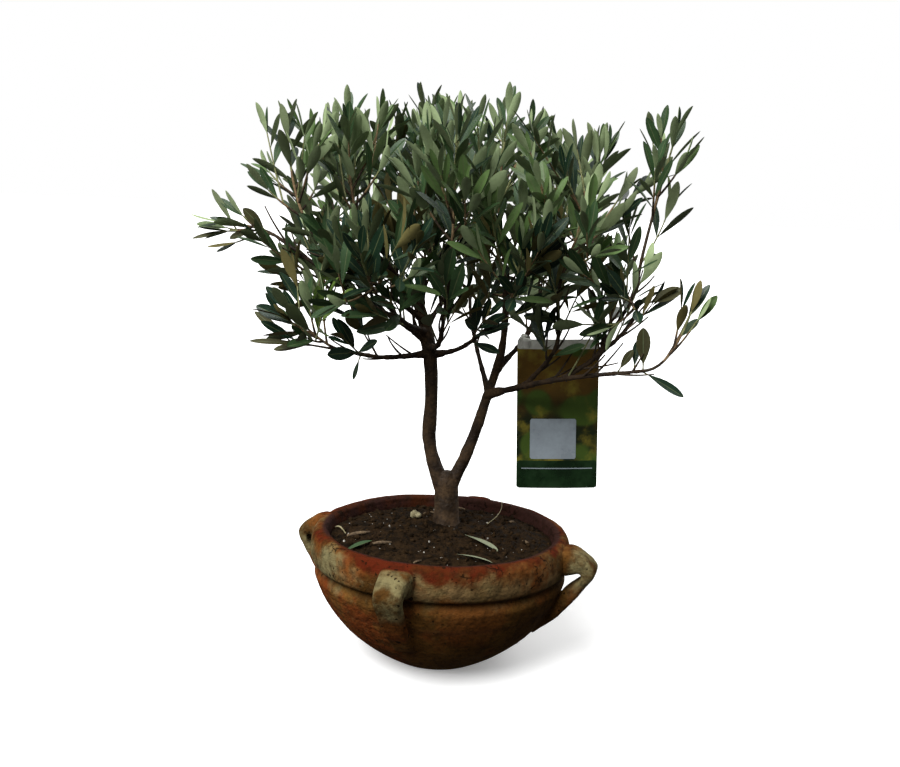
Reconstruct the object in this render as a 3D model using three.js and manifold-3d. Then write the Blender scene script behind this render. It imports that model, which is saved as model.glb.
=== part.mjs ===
// Olive bonsai in a terracotta bowl with four strap handles.
// Millimetres, +Z up. The origin is the centre of the bowl's flat underside.
// The handles lie on the X and Y axes, and the tree is turned about Z in its bowl.

import * as THREE from 'three';
import { mergeVertices } from 'three/addons/utils/BufferGeometryUtils.js';
import Module from 'manifold-3d';

const wasm = await Module();
wasm.setup();

// Driving dimensions: clearances and the turn of the tree in its bowl
const SEAT_GAP = 0.3;
const TREE_TURN = THREE.MathUtils.degToRad(17);
const GOLDEN_ANGLE = Math.PI * (3 - Math.sqrt(5));

// Driving dimensions: the bowl, as radius and height pairs up its wall
const BOWL = {
  base: [41, 0],
  belly: [90, 28],
  shoulder: [103, 70],
  groove: [101, 77],
  collarFoot: [104.5, 81],
  collar: [106, 92],
  crest: [98, 107],
  lip: [92.5, 103],
  mouth: [91, 96],
  innerShoulder: [92, 70],
  innerBelly: [80, 34],
  floor: [34, 9],
  turns: 32,
  wallSteps: 6,
  edgeSteps: 2,
};

// Driving dimensions: the strap handles, as points out from the axis and up
const HANDLE = {
  width: 22,
  thickness: 10,
  corner: 3,
  route: [[92, 97], [112, 98], [124, 89], [111, 67], [88, 40]],
  steps: 11,
  sides: [['right', 0], ['back', 0], ['left', 4], ['front', 0]],
};

// Driving dimensions: the soil, heaped to a level seat round the trunk
const SOIL = { edgeHeight: 98.5, seatHeight: 104, seatRadius: 44, wallSteps: 3 };

// Driving dimensions: the trunk and its root flare
const TRUNK = {
  ground: SOIL.seatHeight + SEAT_GAP,
  foot: [4, 24, SOIL.seatHeight - 4],
  fork: [2, 24, 148],
  radius: 9.6,
  flare: 0.3,
  flareHeight: 0.2,
  lobes: 5,
  lobeDepth: 0.1,
  roundFrom: 0.75,
  rounding: 0.6,
  sides: 15,
  steps: 8,
  cutWidth: 60,
  cutDepth: 20,
};

// Driving dimensions: the two stems above the fork and the boughs.
// A limb starts inside its parent, passes its bend points and ends at its tip.
const STEMS = [
  {
    name: 'left_stem',
    parent: 'trunk',
    start: [-1.5, 24, 134],
    bends: [[-13, 24, 170], [-13.5, 22, 212], [-16.5, 20, 250]],
    tip: [-29, 20, 298],
    radii: [6.6, 5.4, 5.4, 5.6, 3.2],
  },
  {
    name: 'right_stem',
    parent: 'trunk',
    start: [5.5, 24, 134],
    bends: [[22, 22, 176], [33.5, 20, 217], [43, 20, 255]],
    tip: [44, 18, 298],
    radii: [5.8, 4.4, 3.9, 3, 2.3],
  },
];
// Columns: name, parent, share of the parent's length at the start, bend, tip, first radius, last radius
const BOUGHS = [
  ['low_left_bough', 'left_stem', 0.69, [-52, -8, 247], [-82, -30, 254], 2.6, 1.7],
  ['left_bough', 'left_stem', 0.75, [-50, 6, 279], [-88, 2, 293], 2.5, 1.7],
  ['outer_left_bough', 'left_bough', 0.7, [-102, -8, 314], [-140, 2, 338], 2, 1.7],
  ['upper_left_bough', 'left_stem', 0.86, [-58, -22, 305], [-97, -42, 335], 2.5, 1.7],
  ['back_left_bough', 'left_stem', 0.89, [-44, 50, 303], [-68, 78, 322], 2.4, 1.7],
  ['top_left_bough', 'left_stem', 0.97, [-44, 8, 311], [-62, -5, 330], 2.3, 1.7],
  ['top_bough', 'left_stem', 0.99, [-24, 28, 314], [-18, 38, 332], 2.5, 1.7],
  ['front_bough', 'left_stem', 0.72, [-8, -25, 263], [-3, -60, 308], 2.2, 1.7],
  ['front_left_bough', 'left_stem', 0.8, [-34, -20, 276], [-50, -54, 294], 2.2, 1.7],
  ['inner_bough', 'left_stem', 0.9, [-22, -2, 300], [-21, -14, 310], 2.2, 1.7],
  ['back_bough', 'left_stem', 0.82, [-6, 46, 293], [-4, 90, 322], 2.4, 1.7],
  ['middle_bough', 'left_stem', 0.68, [8, 4, 255], [35, -30, 282], 2.3, 1.7],
  ['low_right_bough', 'right_stem', 0.51, [88, -29, 239], [150, -40, 250], 3, 1.7],
  ['right_front_bough', 'low_right_bough', 0.3, [82, -30, 264], [80, -44, 302], 2, 1.7],
  ['right_bough', 'low_right_bough', 0.56, [118, -25, 264], [112, -8, 320], 2, 1.7],
  ['right_side_bough', 'right_bough', 0.3, [130, -31, 274], [141, -27, 288], 2, 1.7],
  ['outer_right_bough', 'right_bough', 0.42, [143, 2, 302], [151, 9, 340], 2, 1.7],
  ['back_right_bough', 'right_stem', 0.64, [62, 34, 262], [86, 64, 316], 2.5, 1.7],
  ['low_back_bough', 'right_stem', 0.52, [22, 40, 254], [16, 74, 282], 2.2, 1.7],
  ['top_right_bough', 'right_stem', 0.99, [44, 12, 314], [39, 6, 332], 2.1, 1.7],
];
const STEM_SIDES = 9;
const STEM_STEPS = 12;
const BOUGH_SIDES = 5;
const BOUGH_STEPS = 5;

// Driving dimensions: the masses of foliage, each an egg-shaped space on the tip of one bough.
// Columns: name, bough, centre, half widths, shoots, widest angle of a shoot from the space's own axis
const FOLIAGE = [
  ['top_foliage', 'top_bough', [-24, 46, 396], [60, 54, 72], 6, 105],
  ['top_left_foliage', 'top_left_bough', [-74, -10, 384], [56, 54, 72], 6, 105],
  ['top_right_foliage', 'top_right_bough', [38, 2, 390], [60, 54, 72], 6, 105],
  ['front_foliage', 'front_bough', [-2, -80, 378], [58, 50, 74], 6, 105],
  ['upper_left_foliage', 'upper_left_bough', [-114, -32, 380], [54, 54, 72], 6, 105],
  ['right_foliage', 'right_bough', [102, 12, 376], [58, 54, 70], 6, 105],
  ['back_left_foliage', 'back_left_bough', [-88, 100, 372], [62, 56, 74], 6, 110],
  ['back_foliage', 'back_bough', [-4, 132, 378], [62, 54, 74], 6, 110],
  ['back_right_foliage', 'back_right_bough', [88, 104, 370], [62, 56, 70], 6, 110],
  ['outer_right_foliage', 'outer_right_bough', [160, 4, 388], [40, 40, 70], 4, 60],
  ['left_foliage', 'left_bough', [-102, 20, 312], [56, 54, 52], 5, 105],
  ['left_tip_foliage', 'outer_left_bough', [-158, 0, 342], [50, 36, 34], 4, 60],
  ['low_left_foliage', 'low_left_bough', [-104, -42, 272], [54, 46, 40], 5, 100],
  ['front_left_foliage', 'front_left_bough', [-58, -84, 316], [58, 50, 58], 5, 115],
  ['inner_foliage', 'inner_bough', [-24, -24, 342], [48, 40, 46], 5, 110],
  ['middle_foliage', 'middle_bough', [44, -60, 322], [56, 50, 56], 5, 110],
  ['right_front_foliage', 'right_front_bough', [92, -62, 346], [54, 50, 58], 5, 110],
  ['right_side_foliage', 'right_side_bough', [134, -38, 296], [46, 48, 42], 4, 95],
  ['low_right_foliage', 'low_right_bough', [172, -44, 284], [48, 40, 38], 4, 60],
  ['low_back_foliage', 'low_back_bough', [34, 114, 298], [58, 50, 50], 5, 105],
];
const SHOOT = {
  radius: 1.1,
  tipRadius: 0.8,
  sides: 4,
  steps: 2,
  sag: 0.1,
  stemBend: 1 / 3,
  forks: [0.2, 0.55],
  leafNodes: [9, 24, 40],
  fits: [1, 0.75, 0.5],
};
const LEAF = {
  length: 46,
  shortest: 0.85,
  longest: 1.05,
  width: 16,
  tipWidth: 6,
  thickness: 0.9,
  widest: 0.55,
  spread: 44,
  spreadVary: 16,
  rootOffset: 0.1,
  tipSink: 3,
  overhang: 32,
  spacing: 5.8,
  fits: [1, 0.8],
  probes: [0.25, 0.4, 0.55, 0.7, 0.85, 1],
};
const LIMB_CLEARANCE = 1.6;
const LIMB_PROBE_STEP = 3;
const SPACE_MARGIN = 0.03;

// Driving dimensions: the card tag and the strip that holds it on a bough
const TAG = {
  width: 67,
  height: 125,
  thickness: 0.8,
  corner: 2,
  centre: [91.5, 20, 201.5],
  tilt: THREE.MathUtils.degToRad(-2.6),
  bough: 'back_right_bough',
  boughShare: 0.34,
  stripWidth: 7,
  stripThickness: 1.2,
  stripInset: 7,
  keepOut: [20, 24, 24],
};

const CLAY = new THREE.MeshStandardMaterial({ color: 0x96552f, roughness: 0.9, metalness: 0 });
const EARTH = new THREE.MeshStandardMaterial({ color: 0x35281d, roughness: 1, metalness: 0 });
const BARK = new THREE.MeshStandardMaterial({ color: 0x5d4f40, roughness: 0.9, metalness: 0 });
const LEAF_GREEN = new THREE.MeshStandardMaterial({ color: 0x56674a, roughness: 0.6, metalness: 0 });
const CARD = new THREE.MeshStandardMaterial({ color: 0x24401f, roughness: 0.5, metalness: 0 });

// Numbers from 0 to 1 that are the same on every run.
function seededRandom(seed) {
  let state = seed;
  return () => {
    state = (state + 0x6d2b79f5) | 0;
    let mixed = Math.imul(state ^ (state >>> 15), 1 | state);
    mixed = (mixed + Math.imul(mixed ^ (mixed >>> 7), 61 | mixed)) ^ mixed;
    return ((mixed ^ (mixed >>> 14)) >>> 0) / 4294967296;
  };
}

const vector = (point) => new THREE.Vector3(...point);

// Shared vertices are merged and faces without area are dropped.
function weld(geometry) {
  const bare = geometry.clone();
  bare.deleteAttribute('normal');
  bare.deleteAttribute('uv');
  const merged = mergeVertices(bare, 1e-4);
  const kept = [];
  for (let i = 0; i < merged.index.count; i += 3) {
    const [a, b, c] = [0, 1, 2].map((corner) => merged.index.getX(i + corner));
    if (a !== b && b !== c && c !== a) {
      kept.push(a, b, c);
    }
  }
  merged.setIndex(kept);
  return merged;
}

function solid(geometry) {
  const merged = weld(geometry);
  const vertProperties = new Float32Array(merged.attributes.position.array);
  const triVerts = new Uint32Array(merged.index.array);
  return new wasm.Manifold(new wasm.Mesh({ numProp: 3, vertProperties, triVerts }));
}

// The largest body of a solid, with loose scraps dropped and sealed hollows filled.
function mainBody(joined) {
  const bodies = joined.decompose();
  return bodies.reduce((best, body) => (body.volume() > best.volume() ? body : best));
}

function geometryOf(joined) {
  const mesh = mainBody(joined).getMesh();
  const geometry = new THREE.BufferGeometry();
  geometry.setAttribute('position', new THREE.BufferAttribute(new Float32Array(mesh.vertProperties), 3));
  geometry.setIndex(new THREE.BufferAttribute(new Uint32Array(mesh.triVerts), 1));
  return geometry;
}

function named(name, geometry, material) {
  const mesh = new THREE.Mesh(geometry, material);
  mesh.name = name;
  return mesh;
}

// The points of a path: long arcs get the wall's steps, short ones the edge's, and straight runs one.
function pointsOf(path, wallSteps = BOWL.wallSteps) {
  const points = [path.curves[0].getPoint(0)];
  for (const curve of path.curves) {
    const arcSteps = curve.getLength() > BOWL.base[0] ? wallSteps : BOWL.edgeSteps;
    points.push(...curve.getPoints(curve.isLineCurve ? 1 : arcSteps).slice(1));
  }
  return points;
}

// A body turned round the Z axis from a profile of radius and height.
function turned(profile) {
  return weld(new THREE.LatheGeometry(profile, BOWL.turns).rotateX(Math.PI / 2));
}

// The outer wall of the bowl up to its crest, grown outwards by a margin.
function outerWall(path, margin) {
  const out = ([radius, height]) => [radius + margin, height];
  path.lineTo(...out(BOWL.base));
  path.quadraticCurveTo(...out(BOWL.belly), ...out(BOWL.shoulder));
  path.quadraticCurveTo(BOWL.shoulder[0] + margin, BOWL.groove[1] - 2, ...out(BOWL.groove));
  path.lineTo(...out(BOWL.collarFoot));
  const widest = BOWL.collar[0] + margin;
  const crest = BOWL.crest[1] + margin;
  path.quadraticCurveTo(widest, (BOWL.collarFoot[1] + BOWL.collar[1]) / 2, ...out(BOWL.collar));
  path.quadraticCurveTo(widest, crest, BOWL.crest[0], crest);
}

// The inner wall of the bowl down from a height at its mouth, drawn in by a margin.
function innerWall(path, margin) {
  const inside = ([radius, height]) => [radius - margin, height];
  path.lineTo(...inside(BOWL.innerShoulder));
  path.quadraticCurveTo(...inside(BOWL.innerBelly), BOWL.floor[0] - margin, BOWL.floor[1] + margin);
  path.lineTo(0, BOWL.floor[1] + margin);
}

function bowlGeometry() {
  const path = new THREE.Path().moveTo(0, 0);
  outerWall(path, 0);
  path.quadraticCurveTo(BOWL.lip[0], BOWL.crest[1], ...BOWL.lip);
  path.lineTo(...BOWL.mouth);
  innerWall(path, 0);
  return turned(pointsOf(path));
}

function soilGeometry() {
  const edge = BOWL.mouth[0] - SEAT_GAP;
  const inner = new THREE.Path().moveTo(edge, SOIL.edgeHeight);
  innerWall(inner, SEAT_GAP);
  const profile = pointsOf(inner, SOIL.wallSteps).reverse();
  const top = new THREE.Path().moveTo(edge, SOIL.edgeHeight);
  const shoulder = (edge + SOIL.seatRadius) / 2;
  top.quadraticCurveTo(shoulder, SOIL.seatHeight, SOIL.seatRadius, SOIL.seatHeight);
  top.lineTo(0, SOIL.seatHeight);
  return turned(profile.concat(pointsOf(top).slice(1)));
}

function roundedRectangle(width, height, corner) {
  const [x, y] = [width / 2, height / 2];
  const shape = new THREE.Shape().moveTo(-x + corner, -y);
  shape.lineTo(x - corner, -y);
  shape.quadraticCurveTo(x, -y, x, -y + corner);
  shape.lineTo(x, y - corner);
  shape.quadraticCurveTo(x, y, x - corner, y);
  shape.lineTo(-x + corner, y);
  shape.quadraticCurveTo(-x, y, -x, y - corner);
  shape.lineTo(-x, -y + corner);
  shape.quadraticCurveTo(-x, -y, -x + corner, -y);
  return shape;
}

// One strap handle on +X, drawn in by a distance and trimmed to stand clear of the bowl's wall.
function handleGeometry(drawnIn) {
  const points = HANDLE.route.map(([out, up]) => new THREE.Vector3(out - drawnIn, 0, up));
  const route = new THREE.CatmullRomCurve3(points);
  const section = roundedRectangle(HANDLE.width, HANDLE.thickness, HANDLE.corner);
  const sweep = { steps: HANDLE.steps, curveSegments: 1, extrudePath: route };
  const strap = new THREE.ExtrudeGeometry(section, sweep);
  const wall = new THREE.Path().moveTo(0, 0);
  outerWall(wall, SEAT_GAP);
  wall.lineTo(0, BOWL.crest[1] + SEAT_GAP);
  return geometryOf(solid(strap).subtract(solid(turned(pointsOf(wall)))));
}

// A closed tapering limb: rings square to a curve, joined by quads, with a flat face on each end.
function limbGeometry({ curve, radiusAt, steps, sides }, margin = 0) {
  const frames = curve.computeFrenetFrames(steps, false);
  const positions = [];
  const index = [];
  for (let step = 0; step <= steps; step += 1) {
    const along = step / steps;
    const end = { 0: -margin, [steps]: margin }[step] ?? 0;
    const centre = curve.getPointAt(along).addScaledVector(frames.tangents[step], end);
    for (let side = 0; side < sides; side += 1) {
      const turn = (side / sides) * 2 * Math.PI;
      const radius = radiusAt(along, turn) + margin;
      const point = centre
        .clone()
        .addScaledVector(frames.normals[step], Math.cos(turn) * radius)
        .addScaledVector(frames.binormals[step], Math.sin(turn) * radius);
      positions.push(...point.toArray());
    }
  }
  const last = steps * sides;
  for (let side = 0; side < sides; side += 1) {
    const next = (side + 1) % sides;
    if (side > 0 && next > 0) {
      index.push(0, next, side, last, last + side, last + next);
    }
    for (let ring = 0; ring < last; ring += sides) {
      const [a, b, c, d] = [ring + side, ring + next, ring + sides + next, ring + sides + side];
      index.push(a, b, c, a, c, d);
    }
  }
  const geometry = new THREE.BufferGeometry();
  geometry.setAttribute('position', new THREE.Float32BufferAttribute(positions, 3));
  geometry.setIndex(index);
  return geometry;
}

// A radius that runs evenly through a list of values along a limb.
function radiusThrough(radii) {
  return (along) => {
    const place = along * (radii.length - 1);
    const before = Math.min(Math.floor(place), radii.length - 2);
    return THREE.MathUtils.lerp(radii[before], radii[before + 1], place - before);
  };
}

function trunkLimb() {
  const curve = new THREE.LineCurve3(vector(TRUNK.foot), vector(TRUNK.fork));
  const radiusAt = (along, turn = 0) => {
    const low = Math.exp(-along / TRUNK.flareHeight);
    const lobes = 1 + TRUNK.lobeDepth * Math.cos(TRUNK.lobes * turn) * low;
    const crown = Math.max(along - TRUNK.roundFrom, 0) / (1 - TRUNK.roundFrom);
    const rounded = Math.sqrt(1 - TRUNK.rounding * crown * crown);
    return TRUNK.radius * (1 + TRUNK.flare * low) * lobes * rounded;
  };
  return { name: 'trunk', parent: null, curve, radiusAt, steps: TRUNK.steps, sides: TRUNK.sides };
}

// Every limb by name, from the trunk outwards.
function growLimbs() {
  const limbs = new Map([['trunk', trunkLimb()]]);
  for (const { name, parent, start, bends, tip, radii } of STEMS) {
    const curve = new THREE.CatmullRomCurve3([start, ...bends, tip].map(vector));
    const radiusAt = radiusThrough(radii);
    limbs.set(name, { name, parent, curve, radiusAt, steps: STEM_STEPS, sides: STEM_SIDES });
  }
  for (const [name, parent, share, bend, tip, radius, tipRadius] of BOUGHS) {
    const start = limbs.get(parent).curve.getPointAt(share);
    const curve = new THREE.CatmullRomCurve3([start, vector(bend), vector(tip)]);
    const radiusAt = radiusThrough([radius, tipRadius]);
    limbs.set(name, { name, parent, curve, radiusAt, steps: BOUGH_STEPS, sides: BOUGH_SIDES });
  }
  return limbs;
}

// The trunk's solid, with a flat cut at ground level.
function trunkSolid(trunk) {
  const below = new THREE.BoxGeometry(TRUNK.cutWidth, TRUNK.cutWidth, TRUNK.cutDepth);
  below.translate(TRUNK.foot[0], TRUNK.foot[1], TRUNK.ground - TRUNK.cutDepth / 2);
  return geometryOf(solid(limbGeometry(trunk)).subtract(solid(below)));
}

// A limb's solid, cut back from the limb that carries it; the right stem is cut back from the left one too.
function limbSolid(limb, limbs) {
  let body = solid(limbGeometry(limb));
  const cutters = limb.name === 'right_stem' ? ['trunk', 'left_stem'] : [limb.parent];
  for (const cutter of cutters) {
    body = body.subtract(solid(limbGeometry(limbs.get(cutter), SEAT_GAP)));
  }
  return geometryOf(body);
}

// The point where a line from a space's centre leaves it, less the overhang of the leaf on a shoot's tip.
function tipTowards(middle, reach, heading, share) {
  const edge = 1 / heading.clone().divide(reach).length();
  return middle.clone().addScaledVector(heading, share * Math.max(edge - LEAF.overhang, edge / 4));
}

// The stem of a mass: from just clear of its bough's tip, along the bough's line, to the space's far side.
function foliageStem(bough, middle, reach) {
  const tip = bough.curve.getPointAt(1);
  const line = bough.curve.getTangentAt(1);
  const start = tip.clone().addScaledVector(line, SEAT_GAP);
  const axis = middle.clone().sub(start).normalize();
  const end = tipTowards(middle, reach, axis, 1);
  const bend = start.clone().addScaledVector(line, start.distanceTo(end) * SHOOT.stemBend);
  const curve = new THREE.QuadraticBezierCurve3(start, bend, end);
  const radiusAt = radiusThrough([bough.radiusAt(1), SHOOT.tipRadius]);
  return { curve, axis, radiusAt, steps: SHOOT.steps + 1, sides: SHOOT.sides };
}

function growMasses(limbs) {
  return FOLIAGE.map(([name, bough, centre, halfWidths, shoots, fan], order) => {
    const middle = vector(centre);
    const reach = vector(halfWidths);
    const stem = foliageStem(limbs.get(bough), middle, reach);
    return { name, order, middle, reach, shoots, fan: THREE.MathUtils.degToRad(fan), stem };
  });
}

// How far a point lies from a space's centre, as a share of its half widths.
function depthIn(mass, point) {
  return point.clone().sub(mass.middle).divide(mass.reach).length();
}

// Points along limbs that leaves and twigs keep clear of.
function obstaclesFor(mass, limbs, masses) {
  const others = masses.filter((other) => other !== mass).map((other) => other.stem);
  const rows = [...limbs.values(), ...others];
  return rows.flatMap((limb) => {
    const count = Math.ceil(limb.curve.getLength() / LIMB_PROBE_STEP);
    return Array.from({ length: count + 1 }, (_, i) => {
      return { point: limb.curve.getPointAt(i / count), radius: limb.radiusAt(i / count) };
    });
  });
}

// A test of whether a point stays in a mass's own space, clear of limbs and of the tag.
function spaceTest(mass, limbs, masses) {
  const obstacles = obstaclesFor(mass, limbs, masses);
  const keepOut = new THREE.Vector3(TAG.width, TAG.thickness, TAG.height).add(vector(TAG.keepOut));
  const card = new THREE.Box3().setFromCenterAndSize(vector(TAG.centre), keepOut);
  return (point) => {
    const depth = depthIn(mass, point);
    const mine = masses.every((other) => other === mass || depthIn(other, point) > depth + SPACE_MARGIN);
    const clear = obstacles.every((o) => o.point.distanceTo(point) > o.radius + LIMB_CLEARANCE);
    return depth < 1 + SPACE_MARGIN && mine && clear && !card.containsPoint(point);
  };
}

// A leaf as a slim eight-faced blade: flat below, with a raised midrib above and a blunt tip.
function leafGeometry({ root, along, across, length }) {
  const face = along.clone().cross(across).normalize();
  const place = (share, aside, rise) => {
    return root
      .clone()
      .addScaledVector(along, share * length)
      .addScaledVector(across, aside)
      .addScaledVector(face, rise);
  };
  const points = [
    place(LEAF.widest, 0, LEAF.thickness),
    root,
    place(LEAF.widest, LEAF.width / 2, 0),
    place(1, LEAF.tipWidth / 2, 0),
    place(1, -LEAF.tipWidth / 2, 0),
    place(LEAF.widest, -LEAF.width / 2, 0),
  ];
  const [rib, base, right, tipRight, tipLeft, left] = points.keys();
  const outline = [base, right, tipRight, tipLeft, left];
  const above = outline.flatMap((corner, i) => [rib, outline[(i + 1) % outline.length], corner]);
  const below = [base, right, tipRight, base, tipRight, tipLeft, base, tipLeft, left];
  const geometry = new THREE.BufferGeometry();
  geometry.setAttribute('position', new THREE.Float32BufferAttribute(points.flatMap((p) => p.toArray()), 3));
  geometry.setIndex([...above, ...below]);
  return geometry;
}

// Places on a leaf where its space is tested.
function leafProbes({ root, along, across, length }) {
  const probes = LEAF.probes.map((share) => root.clone().addScaledVector(along, share * length));
  const middle = root.clone().addScaledVector(along, LEAF.widest * length);
  const edges = [1, -1].map((hand) => middle.clone().addScaledVector(across, (hand * LEAF.width) / 2));
  return [...probes, ...edges];
}

function leafLength(random) {
  return LEAF.length * THREE.MathUtils.lerp(LEAF.shortest, LEAF.longest, random());
}

// The leaves of one shoot: opposite pairs, each crossed to the last, that leave by the shoot's four faces,
// and one leaf on the tip.
function leavesOf(curve, random) {
  const leaves = [];
  const span = curve.getLength();
  const frames = curve.computeFrenetFrames(Math.round(span), false);
  SHOOT.leafNodes.forEach((fromTip, pair) => {
    const frame = Math.max(Math.round(span) - fromTip, 0);
    const heading = frames.tangents[frame];
    const turn = Math.PI / 4 + (pair * Math.PI) / 2;
    const side = frames.normals[frame]
      .clone()
      .multiplyScalar(Math.cos(turn))
      .addScaledVector(frames.binormals[frame], Math.sin(turn));
    const across = heading.clone().cross(side).normalize();
    for (const hand of [1, -1]) {
      const spread = THREE.MathUtils.degToRad(LEAF.spread + LEAF.spreadVary * (random() - 0.5));
      const along = heading
        .clone()
        .multiplyScalar(Math.cos(spread))
        .addScaledVector(side, hand * Math.sin(spread));
      const root = curve.getPointAt(frame / Math.round(span)).addScaledVector(side, hand * LEAF.rootOffset);
      leaves.push({ root, along, across, length: leafLength(random) });
    }
  });
  const heading = frames.tangents.at(-1);
  const across = frames.normals.at(-1).clone().add(frames.binormals.at(-1)).normalize();
  const root = curve.getPoint(1).addScaledVector(heading, -LEAF.tipSink);
  leaves.push({ root, along: heading, across, length: leafLength(random) });
  return leaves;
}

// A side shoot leaves the stem by the golden angle, opens by its rank and bends upwards.
function shootCurve(mass, number, share, turn) {
  const rank = number / mass.shoots;
  const fork = mass.stem.curve.getPointAt(THREE.MathUtils.lerp(SHOOT.forks[1], SHOOT.forks[0], rank));
  const { axis } = mass.stem;
  const aside = new THREE.Vector3(0, 1, 0).cross(axis).normalize();
  const upright = axis.clone().cross(aside);
  const cosine = 1 - rank * (1 - Math.cos(mass.fan));
  const sine = Math.sqrt(1 - cosine * cosine);
  const heading = axis
    .clone()
    .multiplyScalar(cosine)
    .addScaledVector(aside, sine * Math.cos(turn))
    .addScaledVector(upright, sine * Math.sin(turn));
  const tip = tipTowards(mass.middle, mass.reach, heading, share);
  const bend = fork.clone().lerp(tip, 0.5);
  bend.z -= SHOOT.sag * fork.distanceTo(tip);
  return new THREE.QuadraticBezierCurve3(fork, bend, tip);
}

// Points every few millimetres along a shoot, past its fork.
function shootProbes(curve) {
  const count = Math.ceil(curve.getLength() / LEAF.spacing);
  return Array.from({ length: count }, (_, i) => curve.getPointAt((i + 1) / count)).slice(1);
}

// One mass of foliage: its stem, its side shoots and their leaves, joined to one body.
function foliageGeometry(mass, limbs, masses) {
  const random = seededRandom(mass.order + 1);
  const inSpace = spaceTest(mass, limbs, masses);
  const phase = random() * 2 * Math.PI;
  const shoots = [mass.stem];
  for (let number = 1; number < mass.shoots; number += 1) {
    const turn = phase + number * GOLDEN_ANGLE;
    const curves = SHOOT.fits.map((share) => shootCurve(mass, number, share, turn));
    const curve = curves.find((route) => shootProbes(route).every(inSpace));
    if (curve) {
      const radiusAt = radiusThrough([SHOOT.radius, SHOOT.tipRadius]);
      shoots.push({ curve, radiusAt, steps: SHOOT.steps, sides: SHOOT.sides });
    }
  }
  const pieces = shoots.map((shoot) => solid(limbGeometry(shoot)));
  const taken = shoots.flatMap((shoot) => shootProbes(shoot.curve));
  const isFree = (probe) => inSpace(probe) && taken.every((other) => other.distanceTo(probe) > LEAF.spacing);
  for (const leaf of shoots.flatMap((shoot) => leavesOf(shoot.curve, random))) {
    const sizes = LEAF.fits.map((share) => ({ ...leaf, length: share * leaf.length }));
    const fitting = sizes.find((size) => leafProbes(size).every(isFree));
    if (fitting) {
      pieces.push(solid(leafGeometry(fitting)));
      taken.push(...leafProbes(fitting));
    }
  }
  return geometryOf(wasm.Manifold.union(pieces));
}

// The card tag with the strip that closes round its bough.
function tagGeometry(limbs) {
  const bough = limbs.get(TAG.bough);
  const hold = bough.curve.getPointAt(TAG.boughShare);
  const heading = bough.curve.getTangentAt(TAG.boughShare);
  const inner = bough.radiusAt(TAG.boughShare) + SEAT_GAP;
  const ring = new THREE.Shape().absarc(0, 0, inner + TAG.stripThickness, 0, 2 * Math.PI);
  ring.holes.push(new THREE.Path().absarc(0, 0, inner, 0, 2 * Math.PI, true));
  const round = { depth: TAG.stripWidth, bevelEnabled: false, curveSegments: 4 };
  const band = new THREE.ExtrudeGeometry(ring, round);
  band.translate(0, 0, -TAG.stripWidth / 2);
  band.applyQuaternion(new THREE.Quaternion().setFromUnitVectors(new THREE.Vector3(0, 0, 1), heading));
  band.translate(...hold.toArray());

  const outline = roundedRectangle(TAG.width, TAG.height, TAG.corner);
  const flat = { depth: TAG.thickness, bevelEnabled: false, curveSegments: 1 };
  const card = new THREE.ExtrudeGeometry(outline, flat);
  card.translate(0, 0, -TAG.thickness / 2).rotateX(Math.PI / 2).rotateY(TAG.tilt).translate(...TAG.centre);

  const corner = new THREE.Vector3(TAG.stripInset - TAG.width / 2, 0, TAG.height / 2 - TAG.stripInset);
  const anchor = corner.applyAxisAngle(new THREE.Vector3(0, 1, 0), TAG.tilt).add(vector(TAG.centre));
  const towards = anchor.clone().sub(hold);
  towards.addScaledVector(heading, -towards.dot(heading)).normalize();
  const start = hold.clone().addScaledVector(towards, inner + TAG.stripThickness / 2);
  const above = anchor.clone().setZ(anchor.z + TAG.stripInset);
  const route = new THREE.CatmullRomCurve3([start, above, anchor]);
  const section = roundedRectangle(TAG.stripThickness, TAG.stripWidth, TAG.stripThickness / 4);
  const strip = new THREE.ExtrudeGeometry(section, { steps: 4, curveSegments: 1, extrudePath: route });
  const joined = wasm.Manifold.union([solid(band), solid(card), solid(strip)]);
  return geometryOf(joined.subtract(solid(limbGeometry(bough, SEAT_GAP))));
}

const pot = new THREE.Group();
pot.add(named('bowl', bowlGeometry(), CLAY));
pot.add(named('soil', soilGeometry(), EARTH));
HANDLE.sides.forEach(([side, drawnIn], quarter) => {
  const handle = named(`${side}_handle`, handleGeometry(drawnIn), CLAY);
  handle.rotation.z = (quarter * Math.PI) / 2;
  pot.add(handle);
});

const limbs = growLimbs();
const masses = growMasses(limbs);
const tree = new THREE.Group();
tree.rotation.z = TREE_TURN;
for (const limb of limbs.values()) {
  const geometry = limb.parent ? limbSolid(limb, limbs) : trunkSolid(limb);
  tree.add(named(limb.name, geometry, BARK));
}
for (const mass of masses) {
  tree.add(named(mass.name, foliageGeometry(mass, limbs, masses), LEAF_GREEN));
}
tree.add(named('tag', tagGeometry(limbs), CARD));

const bonsai = new THREE.Group();
bonsai.add(pot, tree);

export default bonsai;
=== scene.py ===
"""Visual model of an olive bonsai in a terracotta bowl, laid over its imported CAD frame.

The tables give millimetres. The bowl's numbers are in the row frame, and the tree's are in its own frame,
which is turned about Z in the bowl.
"""

import logging
import math
from collections.abc import Callable, Iterable, Sequence
from dataclasses import dataclass, field
from enum import Enum
from functools import reduce

import bpy
import numpy as np
from mathutils import Matrix, Vector, noise


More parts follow.
